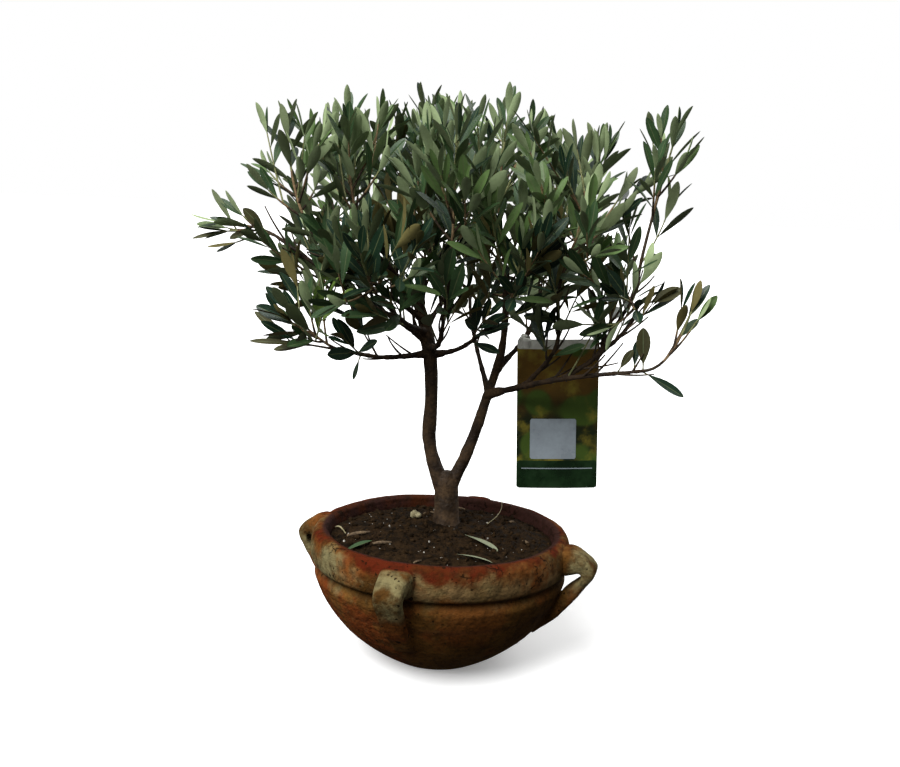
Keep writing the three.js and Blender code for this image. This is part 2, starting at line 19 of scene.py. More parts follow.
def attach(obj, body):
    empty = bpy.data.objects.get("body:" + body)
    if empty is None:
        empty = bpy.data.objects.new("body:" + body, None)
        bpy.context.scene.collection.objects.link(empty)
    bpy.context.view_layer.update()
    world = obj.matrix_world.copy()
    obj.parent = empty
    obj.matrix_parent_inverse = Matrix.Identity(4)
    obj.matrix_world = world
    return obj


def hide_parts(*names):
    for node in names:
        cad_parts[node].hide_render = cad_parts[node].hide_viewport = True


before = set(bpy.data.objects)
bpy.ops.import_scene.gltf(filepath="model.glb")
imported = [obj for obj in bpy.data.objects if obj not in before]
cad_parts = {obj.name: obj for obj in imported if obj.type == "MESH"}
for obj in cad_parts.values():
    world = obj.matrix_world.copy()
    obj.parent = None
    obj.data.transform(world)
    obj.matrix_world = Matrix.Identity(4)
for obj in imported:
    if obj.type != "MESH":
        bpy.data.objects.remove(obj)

LOG = logging.getLogger("olive_bonsai")
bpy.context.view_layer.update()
MM = 0.001
FULL_TURN = 2 * math.pi
TREE_TURN = math.radians(17)
GOLDEN_ANGLE = math.pi * (3 - math.sqrt(5))
LUMP_SLOPE = 1.6

Array = np.ndarray
Colour = tuple[float, float, float]
Point = tuple[float, float, float]
Flat = tuple[float, float]
Wave = tuple[float | Sequence[float], float, float]
Rows = tuple[tuple, ...]


class Slot(Enum):
    """Material slots of the record."""

    TERRACOTTA = "terracotta"
    SOIL = "soil"
    BARK = "bark"
    FOLIAGE = "foliage"
    CARD = "card"


class Leaf(Enum):
    """Finishes of the faces of a leaf, in the order of a leaf piece's materials."""

    FRESH = 0
    GREEN = 1
    DEEP = 2
    SAGE = 3
    # The next two are darkened copies of the sage underside, painted shade.
    GREY = 4
    OLIVE = 5
    YOUNG = 6
    RIB = 7
    DRY = 8
    SHADED = 9


class Wood(Enum):
    """Finishes of the faces of a twig, in the order of a twig piece's materials."""

    OLD = 0
    RED = 1
    GREEN = 2


class Paper(Enum):
    """Finishes of the faces of the tag, in the order of its materials."""

    PRINT = 0
    BAND = 1
    LABEL = 2
    HANGER = 3


class Seeded:
    """Numbers from 0 to 1 that are the same on every run, as in the part's source."""

    FULL = 0xFFFFFFFF
    STEP = 0x6D2B79F5

    def __init__(self, seed: int) -> None:
        """Starts the row of numbers from a seed."""
        self.state = seed

    def draw(self) -> float:
        """Makes the next number.

        Returns:
            A number from 0 up to 1.
        """
        self.state = (self.state + self.STEP) & self.FULL
        mixed = ((self.state ^ (self.state >> 15)) * (1 | self.state)) & self.FULL
        mixed = ((mixed + ((mixed ^ (mixed >> 7)) * (61 | mixed) & self.FULL)) & self.FULL) ^ mixed
        return ((mixed ^ (mixed >> 14)) & self.FULL) / (self.FULL + 1)


def unit(vectors: Array) -> Array:
    """Scales a vector, or each row of vectors, to length 1."""
    return vectors / np.maximum(np.linalg.norm(vectors, axis=-1, keepdims=True), 1e-9)


def ripple(points: Array, scale: float | Sequence[float], seed: float) -> Array:
    """Smooth noise from about -1 to 1 at rows of points, with so many waves for each unit of length."""
    places = points * np.asarray(scale) + seed
    return np.array([noise.noise(Vector(place)) for place in places])


def waves(points: Array, *rows: Wave) -> Array:
    """The sum of ripples at points, each with its scale, its seed and its depth."""
    return sum(ripple(points, scale, seed) * depth for scale, seed, depth in rows)


def lumps(points: Array, scale: float, seed: float) -> Array:
    """Rounded lumps at rows of points: 1 on the middle of a lump and 0 or less between lumps."""
    places = points * scale + seed
    return np.array([1 - LUMP_SLOPE * noise.voronoi(Vector(place))[0][0] for place in places])


def around(count: int) -> Array:
    """Even turns about an axis, in radians, that start at 0."""
    return np.arange(count) / count * 2 * math.pi


def about_z(turn: float) -> Array:
    """The matrix of a turn about Z, in radians."""
    c, s = math.cos(turn), math.sin(turn)
    return np.array([[c, -s, 0], [s, c, 0], [0, 0, 1]])


def bow(start: Array, bend: Array, end: Array, t: Array) -> Array:
    """Points at shares t of a line from start to end that is drawn aside by a third point."""
    return (1 - t) ** 2 * start + 2 * t * (1 - t) * bend + t**2 * end


def put(name: str, data: bpy.types.ID) -> bpy.types.Object:
    """Adds a mesh, light or camera to the scene as an object.

    Args:
        name: The object's name.
        data: The mesh, light or camera.

    Returns:
        The object.
    """
    made = bpy.data.objects.new(name, data)
    bpy.context.scene.collection.objects.link(made)
    return made


class Route:
    """A curve through space, measured by its own length."""

    SAMPLES = 200
    BENT_SAMPLES = 40
    STEEP = 0.05

    def __init__(self, points: Array) -> None:
        """Takes a dense row of points as the curve."""
        self.points = np.asarray(points, dtype=float)
        steps = np.linalg.norm(np.diff(self.points, axis=0), axis=1)
        self.travel = np.concatenate([[0.0], np.cumsum(steps)])

    @classmethod
    def through(cls, stops: Sequence[Sequence[float]]) -> "Route":
        """A centripetal spline through points, as the part's source draws it.

        Args:
            stops: The points that the curve passes.

        Returns:
            The curve.
        """
        p = np.asarray(stops, dtype=float)
        p = np.vstack([2 * p[0] - p[1], p, 2 * p[-1] - p[-2]])
        pieces = []
        for i in range(1, len(p) - 2):
            d0, d1, d2 = (max(np.linalg.norm(p[k + 1] - p[k]) ** 0.5, 1e-4) for k in (i - 1, i, i + 1))
            leave = (p[i] - p[i - 1]) / d0 - (p[i + 1] - p[i - 1]) / (d0 + d1) + (p[i + 1] - p[i]) / d1
            reach = (p[i + 1] - p[i]) / d1 - (p[i + 2] - p[i]) / (d1 + d2) + (p[i + 2] - p[i + 1]) / d2
            leave, reach = leave * d1, reach * d1
            t = np.linspace(0, 1, cls.SAMPLES, endpoint=i == len(p) - 3)[:, None]
            square = -3 * p[i] + 3 * p[i + 1] - 2 * leave - reach
            cube = 2 * p[i] - 2 * p[i + 1] + leave + reach
            pieces.append(p[i] + leave * t + square * t**2 + cube * t**3)
        return cls(np.vstack(pieces))

    @classmethod
    def bent(cls, start: Array, bend: Array, end: Array) -> "Route":
        """A curve with one bend, drawn aside by its middle point."""
        return cls(bow(start, bend, end, np.linspace(0, 1, cls.BENT_SAMPLES)[:, None]))

    @property
    def length(self) -> float:
        """The length along the curve."""
        return float(self.travel[-1])

    def at(self, shares: float | Array) -> Array:
        """The point at one share of the length, or a row of points at a row of shares."""
        way = np.asarray(shares) * self.length
        return np.stack([np.interp(way, self.travel, self.points[:, axis]) for axis in range(3)], axis=-1)

    def heading(self, share: float) -> Array:
        """The direction of travel at a share of the length.

        Args:
            share: From 0 to 1.

        Returns:
            A vector of length 1.
        """
        near = min(0.01, 1 / max(self.length, 1))
        ends = self.at(np.clip([share - near, share + near], 0, 1))
        return unit(ends[1] - ends[0])

    def sides(self, share: float) -> tuple[Array, Array]:
        """Two directions square to the curve and to each other.

        Args:
            share: From 0 to 1.

        Returns:
            A level direction and one that points up as far as the curve allows.
        """
        along = self.heading(share)
        level = np.cross(along, (0, 0, 1))
        level = unit(level) if np.linalg.norm(level) > self.STEEP else unit(np.cross(along, (0, 1, 0)))
        return level, np.cross(level, along)

    def turned(self, share: float, turn: float) -> Array:
        """The direction square to the curve at a share and a turn from level."""
        level, upright = self.sides(share)
        return level * math.cos(turn) + upright * math.sin(turn)


@dataclass
class Shape:
    """A mesh in the making, in millimetres: corners, faces and the finish of each face."""

    corners: list[Array] = field(default_factory=list)
    faces: list[list[int]] = field(default_factory=list)
    finishes: list[int] = field(default_factory=list)
    count: int = 0

    def add(self, corners: Array, faces: Array, finish: int | Array = 0) -> None:
        """Joins a piece to the mesh.

        Args:
            corners: Rows of x, y, z.
            faces: Rows of corner numbers, all with as many corners.
            finish: The number of the faces' material, or one number for each face.
        """
        corners = np.asarray(corners, dtype=float).reshape(-1, 3)
        faces = np.asarray(faces, dtype=int)
        self.corners.append(corners)
        self.faces.extend((faces + self.count).tolist())
        self.finishes.extend(np.broadcast_to(np.asarray(finish), (len(faces),)).tolist())
        self.count += len(corners)

    def rings(self, rows: Array, finish: int | Array = 0, caps: bool = True) -> None:
        """Joins a skin over closed rings of corners.

        Args:
            rows: Rings by corners by x, y, z.
            finish: The number of the faces' material, or one number for each face between rings.
            caps: Whether each end is closed to a point in its middle.
        """
        turns, sides = rows.shape[:2]
        ring, side = np.meshgrid(np.arange(turns - 1), np.arange(sides), indexing="ij")
        after = (side + 1) % sides
        quads = np.stack([ring * sides + side, ring * sides + after,
                          (ring + 1) * sides + after, (ring + 1) * sides + side], axis=-1).reshape(-1, 4)
        self.add(rows, quads, finish)
        if caps:
            self.fan(rows[0], np.asarray(finish).flat[0], turned=True)
            self.fan(rows[-1], np.asarray(finish).flat[0])

    def fan(self, ring: Array, finish: int = 0, turned: bool = False) -> None:
        """Joins triangles from each side of a ring to its middle.

        Args:
            ring: Rows of x, y, z.
            finish: The number of the faces' material.
            turned: Whether the faces look the other way.
        """
        sides = np.arange(len(ring))
        faces = np.stack([sides, np.roll(sides, -1), np.full(len(ring), len(ring))], axis=-1)
        self.add(np.vstack([ring, ring.mean(axis=0)]), faces[:, ::-1] if turned else faces, finish)

    def slab(self, front: Array, behind: Array, finish: int = 0) -> None:
        """Joins a closed slab between two sheets.

        Args:
            front: Rows by columns by x, y, z, seen with its columns to the right and its rows upwards.
            behind: The same for its other side.
            finish: The number of the faces' material.
        """
        grid = np.arange(front.shape[0] * front.shape[1]).reshape(front.shape[:2])
        quads = np.stack([grid[:-1, :-1], grid[:-1, 1:], grid[1:, 1:], grid[1:, :-1]], axis=-1).reshape(-1, 4)
        self.add(front, quads, finish)
        self.add(behind, quads[:, ::-1], finish)
        loop = np.concatenate([grid[0], grid[1:, -1], grid[-1, -2::-1], grid[-2:0:-1, 0]])
        self.rings(np.stack([sheet.reshape(-1, 3)[loop] for sheet in (behind, front)]), finish, caps=False)

    def points(self) -> Array:
        """All corners in one array."""
        return np.vstack(self.corners)

    def mesh(self, name: str, turn: float = 0.0, scale: float = MM) -> bpy.types.Mesh:
        """Makes a Blender mesh.

        Args:
            name: The mesh's name.
            turn: A turn about Z, in radians.
            scale: Blender units for each millimetre.

        Returns:
            The mesh, smooth shaded.
        """
        mesh = bpy.data.meshes.new(name)
        mesh.from_pydata((self.points() @ about_z(turn).T * scale).tolist(), [], self.faces)
        mesh.polygons.foreach_set("material_index", self.finishes)
        mesh.shade_smooth()
        mesh.update()
        return mesh

    def fused(self, voxel: float, smoothing: int) -> "Shape":
        """One skin round all the bodies of this mesh, with soft joints.

        Args:
            voxel: The fineness of the skin.
            smoothing: How many times the skin is smoothed.

        Returns:
            The new mesh.
        """
        body = put("fusing", self.mesh("fusing", scale=1.0))
        skin = body.modifiers.new("skin", "REMESH")
        skin.mode, skin.voxel_size = "VOXEL", voxel
        soften = body.modifiers.new("soften", "SMOOTH")
        soften.factor, soften.iterations = 0.5, smoothing
        done = body.evaluated_get(bpy.context.evaluated_depsgraph_get()).to_mesh()
        corners = np.empty(len(done.vertices) * 3)
        done.vertices.foreach_get("co", corners)
        result = Shape()
        result.add(corners.reshape(-1, 3), np.array([list(face.vertices) for face in done.polygons]))
        bpy.data.objects.remove(body)
        return result

    def normals(self) -> Array:
        """The outward direction at each corner.

        Returns:
            Rows of vectors of length 1.
        """
        mesh = self.mesh("normals", scale=1.0)
        rows = np.empty(len(mesh.vertices) * 3)
        mesh.vertices.foreach_get("normal", rows)
        bpy.data.meshes.remove(mesh)
        return rows.reshape(-1, 3)

    def swell(self, rise: Array) -> None:
        """Moves each corner outwards by its own distance."""
        self.corners = [self.points() + self.normals() * rise[:, None]]

    def tube(self, route: Route, radii: Sequence[float], steps: int, sides: int,
             finish: int | Array = 0) -> None:
        """Joins a closed tube along a curve, whose radius runs evenly through a list of values."""
        self.rings(tube_rings(route, even(radii), steps, sides), finish)


def tube_rings(route: Route, radii: Callable[[Array], Array], steps: int,
               sides: int) -> Array:
    """Rings square to a curve.

    Args:
        route: The curve.
        radii: Gives a radius for each share of the length.
        steps: Gaps between rings.
        sides: Corners of a ring.

    Returns:
        Rings by corners by x, y, z.
    """
    shares = np.linspace(0, 1, steps + 1)
    normal, _ = route.sides(0)
    turns = around(sides)
    rows = []
    for share, middle, radius in zip(shares, route.at(shares), radii(shares)):
        along = route.heading(share)
        normal = unit(normal - along * (normal @ along))
        across = np.cross(along, normal)
        rows.append(middle + radius * (np.cos(turns)[:, None] * normal + np.sin(turns)[:, None] * across))
    return np.array(rows)


def even(values: Sequence[float]) -> Callable[[Array], Array]:
    """A radius that runs evenly through a list of values."""
    return lambda shares: np.interp(shares, np.linspace(0, 1, len(values)), values)


Feed = float | Sequence[float] | bpy.types.NodeSocket
Socket = bpy.types.NodeSocket
Sockets = bpy.types.bpy_prop_collection


class Web:
    """A node tree under construction."""

    def __init__(self, tree: bpy.types.NodeTree) -> None:
        """Works on a tree."""
        self.tree = tree

    def link(self, value: Feed, socket: Socket) -> None:
        """Sets a socket to a constant, or joins another socket to it.

        Args:
            value: A number, a row of numbers or an output socket.
            socket: The input socket.
        """
        if isinstance(value, bpy.types.NodeSocket):
            self.tree.links.new(value, socket)
        elif isinstance(value, Sequence) and socket.type == "RGBA":
            socket.default_value = (*value, 1.0)[:4]
        else:
            socket.default_value = value

    def node(self, kind: str, inputs: dict[str | int, Feed] | None = None, **settings: object) -> bpy.types.Node:
        """Adds a node.

        Args:
            kind: The node's type.
            inputs: What goes into its input sockets.
            **settings: Its own settings.

        Returns:
            The node.
        """
        node = self.tree.nodes.new(kind)
        for name, value in settings.items():
            setattr(node, name, value)
        for name, value in (inputs or {}).items():
            self.link(value, node.inputs[name])
        return node

    def mix(self, mask: Feed, first: Feed, second: Feed) -> Socket:
        """Blends two colours: the first where the mask is 0 and the second where it is 1."""
        return self.node("ShaderNodeMix", {0: mask, 6: first, 7: second}, data_type="RGBA").outputs[2]

    def math(self, sort: str, first: Feed, second: Feed = 0.0) -> Socket:
        """Works out a sum of two values, of a kind such as ADD."""
        return self.node("ShaderNodeMath", {0: first, 1: second}, operation=sort).outputs[0]

    def times(self, first: Feed, *others: Feed) -> Socket:
        """Multiplies values."""
        return reduce(lambda product, other: self.math("MULTIPLY", product, other), others, first)

    def scaled(self, value: Feed, gain: float, start: float) -> Socket:
        """Works out a value times a gain, plus a start."""
        return self.math("ADD", self.times(value, gain), start)

    def ramp(self, value: Feed, low: Feed, high: Feed) -> Socket:
        """Spreads a value to run softly from 0 at one level to 1 at another."""
        inputs = {"Value": value, "From Min": low, "From Max": high}
        return self.node("ShaderNodeMapRange", inputs, interpolation_type="SMOOTHSTEP").outputs[0]

    def between(self, value: Feed, foot: Flat, top: Flat) -> Socket:
        """A mask of the levels between a soft foot and a soft top."""
        return self.times(self.ramp(value, *foot), self.ramp(value, *top))

    def spot(self) -> Socket:
        """The place of a point on its piece, in metres."""
        return self.node("ShaderNodeTexCoord").outputs["Object"]

    def moved(self, place: Feed, shift: Feed) -> Socket:
        """Moves a place."""
        return self.node("ShaderNodeVectorMath", {0: place, 1: shift}, operation="ADD").outputs[0]

    def wavy(self, place: Feed, scale: float, detail: float, depth: float) -> Socket:
        """Pushes a place about by noise.

        Args:
            place: The place.
            scale: Waves for each metre.
            detail: How many finer waves are laid over them.
            depth: How far the place is pushed, in metres.

        Returns:
            The pushed place.
        """
        wave = self.node("ShaderNodeTexNoise", {"Vector": place, "Scale": scale, "Detail": detail})
        push = self.node("ShaderNodeVectorMath", {0: wave.outputs["Color"], "Scale": depth}, operation="SCALE")
        return self.moved(place, push.outputs[0])

    def group(self, tree: bpy.types.NodeTree, inputs: dict[str, Feed]) -> Sockets:
        """Adds a node group and gives its outputs."""
        return self.node("ShaderNodeGroup", inputs, node_tree=tree).outputs


class Effects:
    """Shader node groups that several finishes share, each made the first time it is asked for."""

    SPECK_WAVE = (900.0, 1.0, 0.0012)
    LEAST_SPECK = 0.35

    @staticmethod
    def made(name: str, inputs: dict[str, float], outputs: Sequence[str],
             wire: Callable[[Web, Sockets, Sockets], None]) -> bpy.types.NodeTree:
        """Finds or makes a group.

        Args:
            name: The group's name.
            inputs: Its number inputs and their first values.
            outputs: The names of its number outputs.
            wire: Joins the nodes of the group's tree, from what it is given to its result.

        Returns:
            The group.
        """
        if name not in bpy.data.node_groups:
            tree = bpy.data.node_groups.new(name, "ShaderNodeTree")
            for label, value in inputs.items():
                made = tree.interface.new_socket(label, in_out="INPUT", socket_type="NodeSocketFloat")
                made.default_value = value
            for label in outputs:
                tree.interface.new_socket(label, in_out="OUTPUT", socket_type="NodeSocketFloat")
            web = Web(tree)
            wire(web, web.node("NodeGroupInput").outputs, web.node("NodeGroupOutput").inputs)
        return bpy.data.node_groups[name]

    @classmethod
    def mottle(cls) -> bpy.types.NodeTree:
        """Soft uneven patches.

        Returns:
            A group with Scale, Low, High and Shift, that gives a Mask.
        """
        def wire(web: Web, given: Sockets, result: Sockets) -> None:
            """Joins the nodes."""
            cloud = web.node("ShaderNodeTexNoise", {
                "Vector": web.moved(web.spot(), given["Shift"]), "Scale": given["Scale"],
                "Detail": 6.0, "Roughness": 0.62})
            web.link(web.ramp(cloud.outputs[0], given["Low"], given["High"]), result["Mask"])

        return cls.made("mottle", {"Scale": 20.0, "Low": 0.4, "High": 0.6, "Shift": 0.0}, ["Mask"], wire)

    @classmethod
    def specks(cls) -> bpy.types.NodeTree:
        """Scattered small spots of uneven size.

        Returns:
            A group with Scale, Size and Share, that gives a Mask.
        """
        def wire(web: Web, given: Sockets, result: Sockets) -> None:
            """Joins the nodes."""
            place = web.wavy(web.spot(), *cls.SPECK_WAVE)
            cells = web.node("ShaderNodeTexVoronoi", {"Vector": place, "Scale": given["Scale"]}).outputs
            chance = web.node("ShaderNodeSeparateColor", {0: cells["Color"]}).outputs[0]
            size = web.times(given["Size"], web.math("ADD", chance, cls.LEAST_SPECK))
            spot = web.math("LESS_THAN", cells["Distance"], size)
            chosen = web.math("LESS_THAN", chance, given["Share"])
            web.link(web.times(spot, chosen), result["Mask"])

        return cls.made("specks", {"Scale": 200.0, "Size": 0.3, "Share": 0.4}, ["Mask"], wire)

    @classmethod
    def place(cls) -> bpy.types.NodeTree:
        """Where a point lies about the bowl's axis.

        Returns:
            A group that gives the Radius, the Height and the distance Left of the axis, in metres.
        """
        def wire(web: Web, _: Sockets, result: Sockets) -> None:
            """Joins the nodes."""
            x, y, z = web.node("ShaderNodeSeparateXYZ", {0: web.spot()}).outputs
            flat = web.node("ShaderNodeCombineXYZ", {0: x, 1: y}).outputs[0]
            far = web.node("ShaderNodeVectorMath", {0: flat}, operation="LENGTH").outputs["Value"]
            for name, value in (("Radius", far), ("Height", z), ("Left", web.times(x, -1.0))):
                web.link(value, result[name])

        return cls.made("place", {}, ["Radius", "Height", "Left"], wire)


@dataclass(frozen=True)
class Cloud:
    """Soft patches: about how many for each metre, the noise levels that become 0 and 1, and a shift."""

    scale: float
    low: float
    high: float
    shift: float = 0.0

    def mask(self, web: Web) -> Socket:
        """The patches' mask."""
        inputs = {"Scale": self.scale, "Low": self.low, "High": self.high, "Shift": self.shift}
        return web.group(Effects.mottle(), inputs)[0]


@dataclass(frozen=True)
class Specks:
    """Small spots: about how many for each metre, their size and the share of places that have one."""

    scale: float
    size: float
    share: float

    def mask(self, web: Web) -> Socket:
        """The spots' mask."""
        inputs = {"Scale": self.scale, "Size": self.size, "Share": self.share}
        return web.group(Effects.specks(), inputs)[0]


class Finish:
    """A procedural material; each kind says how its colour, roughness and relief vary."""

    name: str

    def material(self) -> bpy.types.Material:
        """The finish's material, made the first time it is asked for.

        Returns:
            The material.
        """
        if self.name not in bpy.data.materials:
            made = bpy.data.materials.new(self.name)
            made.use_nodes = True
            self.paint(Web(made.node_tree), made.node_tree.nodes["Principled BSDF"])
        return bpy.data.materials[self.name]

    def paint(self, web: Web, shader: bpy.types.Node) -> None:
        """Joins the finish's nodes to a shader.

        Args:
            web: The material's tree.
            shader: Its shader.
        """
        raise NotImplementedError

    @staticmethod
    def dress(web: Web, shader: bpy.types.Node, colour: Feed, rough: Feed, shine: float, height: Feed,
              depth: float) -> None:
        """Joins colour, roughness and fine relief to a shader.

        Args:
            web: The material's tree.
            shader: Its shader.
            colour: The base colour.
            rough: The roughness.
            shine: The strength of its gloss.
            height: The height of the relief, from 0 to 1.
            depth: How deep the relief is, in metres.
        """
        bump = web.node("ShaderNodeBump", {"Height": height, "Distance": depth, "Strength": 1.0})
        for name, value in (("Base Color", colour), ("Roughness", rough), ("Specular IOR Level", shine),
                            ("Normal", bump.outputs[0])):
            web.link(value, shader.inputs[name])


@dataclass(frozen=True)
class ClayFinish(Finish):
    """Weathered terracotta: ochre and rust, dark pits, pale bloom, a red rim and a dark inside, with painted
    light on the left side and painted shade in the groove and towards the foot.
    """

    name: str
    ochre: Colour = (0.175, 0.085, 0.019)
    brown: Colour = (0.062, 0.028, 0.006)
    rust: Colour = (0.17, 0.04, 0.009)
    dark_rust: Colour = (0.062, 0.015, 0.003)
    red: Colour = (0.078, 0.0098, 0.003)
    ember: Colour = (0.165, 0.056, 0.011)
    bloom: Colour = (0.185, 0.16, 0.075)
    clay: Colour = (0.115, 0.04, 0.009)
    plum: Colour = (0.032, 0.013, 0.01)
    # Dark of the soot film and the pits, also used for the painted shade in the groove and towards the foot.
    soot_and_painted_shade: Colour = (0.011, 0.0055, 0.0015)
    uneven: Cloud = Cloud(45.0, 0.3, 0.7, 0.4)
    ochre_patches: Cloud = Cloud(26.0, 0.4, 0.6)
    rust_patches: Cloud = Cloud(15.0, 0.45, 0.56, 0.7)
    bloom_patches: Cloud = Cloud(22.0, 0.4, 0.58, 1.3)
    bloom_dust: Cloud = Cloud(260.0, 0.54, 0.7, 7.3)
    strap_patches: Cloud = Cloud(60.0, 0.35, 0.62, 2.1)
    ember_patches: Cloud = Cloud(32.0, 0.38, 0.6, 8.3)
    rim_patches: Cloud = Cloud(55.0, 0.4, 0.65, 4.4)
    lining_patches: Cloud = Cloud(18.0, 0.42, 0.6, 2.7)
    soot_film: Cloud = Cloud(170.0, 0.46, 0.64, 6.1)
    pit_patches: Cloud = Cloud(30.0, 0.42, 0.55, 5.2)
    crack_patches: Cloud = Cloud(34.0, 0.55, 0.6, 9.1)
    grain: Cloud = Cloud(420.0, 0.25, 0.75)
    dimples: Cloud = Cloud(110.0, 0.3, 0.7, 3.1)
    small_pits: Specks = Specks(300.0, 0.55, 0.2)
    large_pits: Specks = Specks(96.0, 0.4, 0.15)
    crack_wave: tuple[float, float, float] = (130.0, 3.0, 0.012)
    crack_cells: float = 75.0
    crack_line: Flat = (0.035, 0.012)
    waver: float = 0.012
    # The left side, which is painted lighter as painted light.
    sunny_side: Flat = (-0.06, 0.09)
    rust_below: Flat = (0.082, 0.066)
    collar: tuple[Flat, Flat] = ((0.076, 0.09), (0.112, 0.1))
    strap_from: Flat = (0.1075, 0.112)
    strap_foot: Flat = (0.086, 0.07)
    ember_above: Flat = (0.094, 0.106)
    ember_within: Flat = (0.12, 0.11)
    rim_sides: Flat = (0.03, 0.09)
    rim_middle: float = 0.01
    rim_drop: float = 0.008
    rim_above: Flat = (0.099, 0.1085)
    rim_within: Flat = (0.111, 0.107)
    inside_within: Flat = (0.0995, 0.0955)
    inside_above: Flat = (0.05, 0.06)
    # Levels of the painted shade towards the foot and in the groove under the collar.
    shade_below: Flat = (0.062, 0.008)
    groove: tuple[Flat, Flat] = ((0.073, 0.0765), (0.083, 0.079))
    groove_within: Flat = (0.106, 0.1035)
    crack_above: Flat = (0.074, 0.084)
    crack_within: Flat = (0.111, 0.108)

    def paint(self, web: Web, shader: bpy.types.Node) -> None:
        """Joins the clay's nodes to a shader."""
        radius, height, left = web.group(Effects.place(), {})
        uneven = self.uneven.mask(web)
        level = web.math("ADD", height, web.times(uneven, self.waver))
        # The ochre, rust, bloom, dust and ember patches are real colour, but lit and sunny make them stronger on
        # the left side: painted light from the upper left.
        sunny = web.ramp(left, *self.sunny_side)
        lit = web.scaled(sunny, 0.7, 0.3)
        colour = web.mix(web.times(self.ochre_patches.mask(web), lit), self.brown, self.ochre)
        lower = web.times(sunny, web.ramp(level, *self.rust_below), 0.4)
        rust_and_painted_light = web.math("ADD", web.times(self.rust_patches.mask(web), lit), lower)
        colour = web.mix(web.math("MINIMUM", rust_and_painted_light, 0.9), colour, self.rust)
        pale = web.times(web.between(level, *self.collar), self.bloom_patches.mask(web),
                           web.scaled(sunny, 0.6, 0.4))
        colour = web.mix(pale, colour, self.bloom)
        colour = web.mix(web.times(self.bloom_dust.mask(web), 0.3, lit), colour, self.bloom)
        worn = web.mix(self.strap_patches.mask(web), self.brown, self.bloom)
        worn = web.mix(web.ramp(level, *self.strap_foot), worn, self.clay)
        colour = web.mix(web.times(web.ramp(radius, *self.strap_from), 0.92), colour, worn)
        fringe = web.times(web.ramp(level, *self.ember_above), self.ember_patches.mask(web),
                             web.scaled(sunny, 0.55, 0.3), web.ramp(radius, *self.ember_within))
        colour = web.mix(fringe, colour, self.ember)
        off = web.math("ABSOLUTE", web.math("ADD", left, self.rim_middle))
        edge = web.math("SUBTRACT", level, web.times(web.ramp(off, *self.rim_sides), self.rim_drop))
        rim = web.times(web.ramp(edge, *self.rim_above), web.ramp(radius, *self.rim_within), 0.96)
        colour = web.mix(rim, colour, web.mix(self.rim_patches.mask(web), self.red, self.dark_rust))
        inside = web.times(web.ramp(radius, *self.inside_within), web.ramp(height, *self.inside_above))
        # The lining: plum with stain patches, painted lighter on the left side as painted light.
        stain_and_painted_light = web.times(self.lining_patches.mask(web), sunny, 0.9)
        colour = web.mix(inside, colour, web.mix(stain_and_painted_light, self.plum, self.dark_rust))
        # Painted shade: a dark band in the groove under the collar, and darker towards the foot, mixed towards
        # the soot colour with the real soot film and pits.
        groove = web.times(web.between(height, *self.groove), web.ramp(radius, *self.groove_within), 0.45)
        shade = web.math("MAXIMUM", web.times(web.ramp(level, *self.shade_below), 0.06), groove)
        pits = self.pits(web, radius, height)
        for dirt_and_painted_shade in (shade, web.times(self.soot_film.mask(web), 0.45), web.times(pits, 0.85)):
            colour = web.mix(dirt_and_painted_shade, colour, self.soot_and_painted_shade)
        surface = web.math("ADD", web.times(self.grain.mask(web), 0.35),
                             web.times(self.dimples.mask(web), 0.65))
        relief = web.math("SUBTRACT", surface, web.times(pits, 1.2))
        self.dress(web, shader, colour, web.scaled(uneven, 0.16, 0.72), 0.04, relief, 0.0011)

    def pits(self, web: Web, radius: Feed, height: Feed) -> Socket:
        """Pits, and hair cracks on the collar.

        Args:
            web: The material's tree.
            radius: How far a point lies from the bowl's axis.
            height: How high it lies.

        Returns:
            Their mask.
        """
        small = web.times(self.small_pits.mask(web), self.pit_patches.mask(web))
        pits = web.math("MAXIMUM", small, self.large_pits.mask(web))
        place = web.wavy(web.spot(), *self.crack_wave)
        cells = web.node("ShaderNodeTexVoronoi", {"Vector": place, "Scale": self.crack_cells},
                           feature="DISTANCE_TO_EDGE")
        line = web.ramp(cells.outputs["Distance"], *self.crack_line)
        cracks = web.times(line, self.crack_patches.mask(web), web.ramp(height, *self.crack_above),
                             web.ramp(radius, *self.crack_within))
        return web.math("MAXIMUM", pits, cracks)


@dataclass(frozen=True)
class GroundFinish(Finish):
    """A rough matte finish of three blended colours with spots, for soil, bark, wood, stone and card."""

    FINER = 5
    SPOT_SIZE = 0.36

    name: str
    dark: Colour
    main: Colour
    light: Colour
    patch: float = 90.0
    spots: float = 500.0
    spot_share: float = 0.3
    spot_blend: float = 0.5
    rough: float = 0.9
    shine: float = 0.2
    depth: float = 0.0006

    def paint(self, web: Web, shader: bpy.types.Node) -> None:
        """Joins the finish's nodes to a shader."""
        large = Cloud(self.patch, 0.35, 0.65).mask(web)
        fine = Cloud(self.patch * self.FINER, 0.4, 0.75, 1.7).mask(web)
        spot = Specks(self.spots, self.SPOT_SIZE, self.spot_share).mask(web)
        colour = web.mix(large, self.dark, self.main)
        colour = web.mix(web.times(fine, 0.55), colour, self.dark)
        colour = web.mix(web.times(spot, self.spot_blend), colour, self.light)
        rough = web.ramp(large, -1.5, 1.0 + (1 - self.rough) * 4)
        height = web.math("ADD", web.times(fine, 0.6), web.times(spot, 0.4))
        self.dress(web, shader, colour, rough, self.shine, height, self.depth)


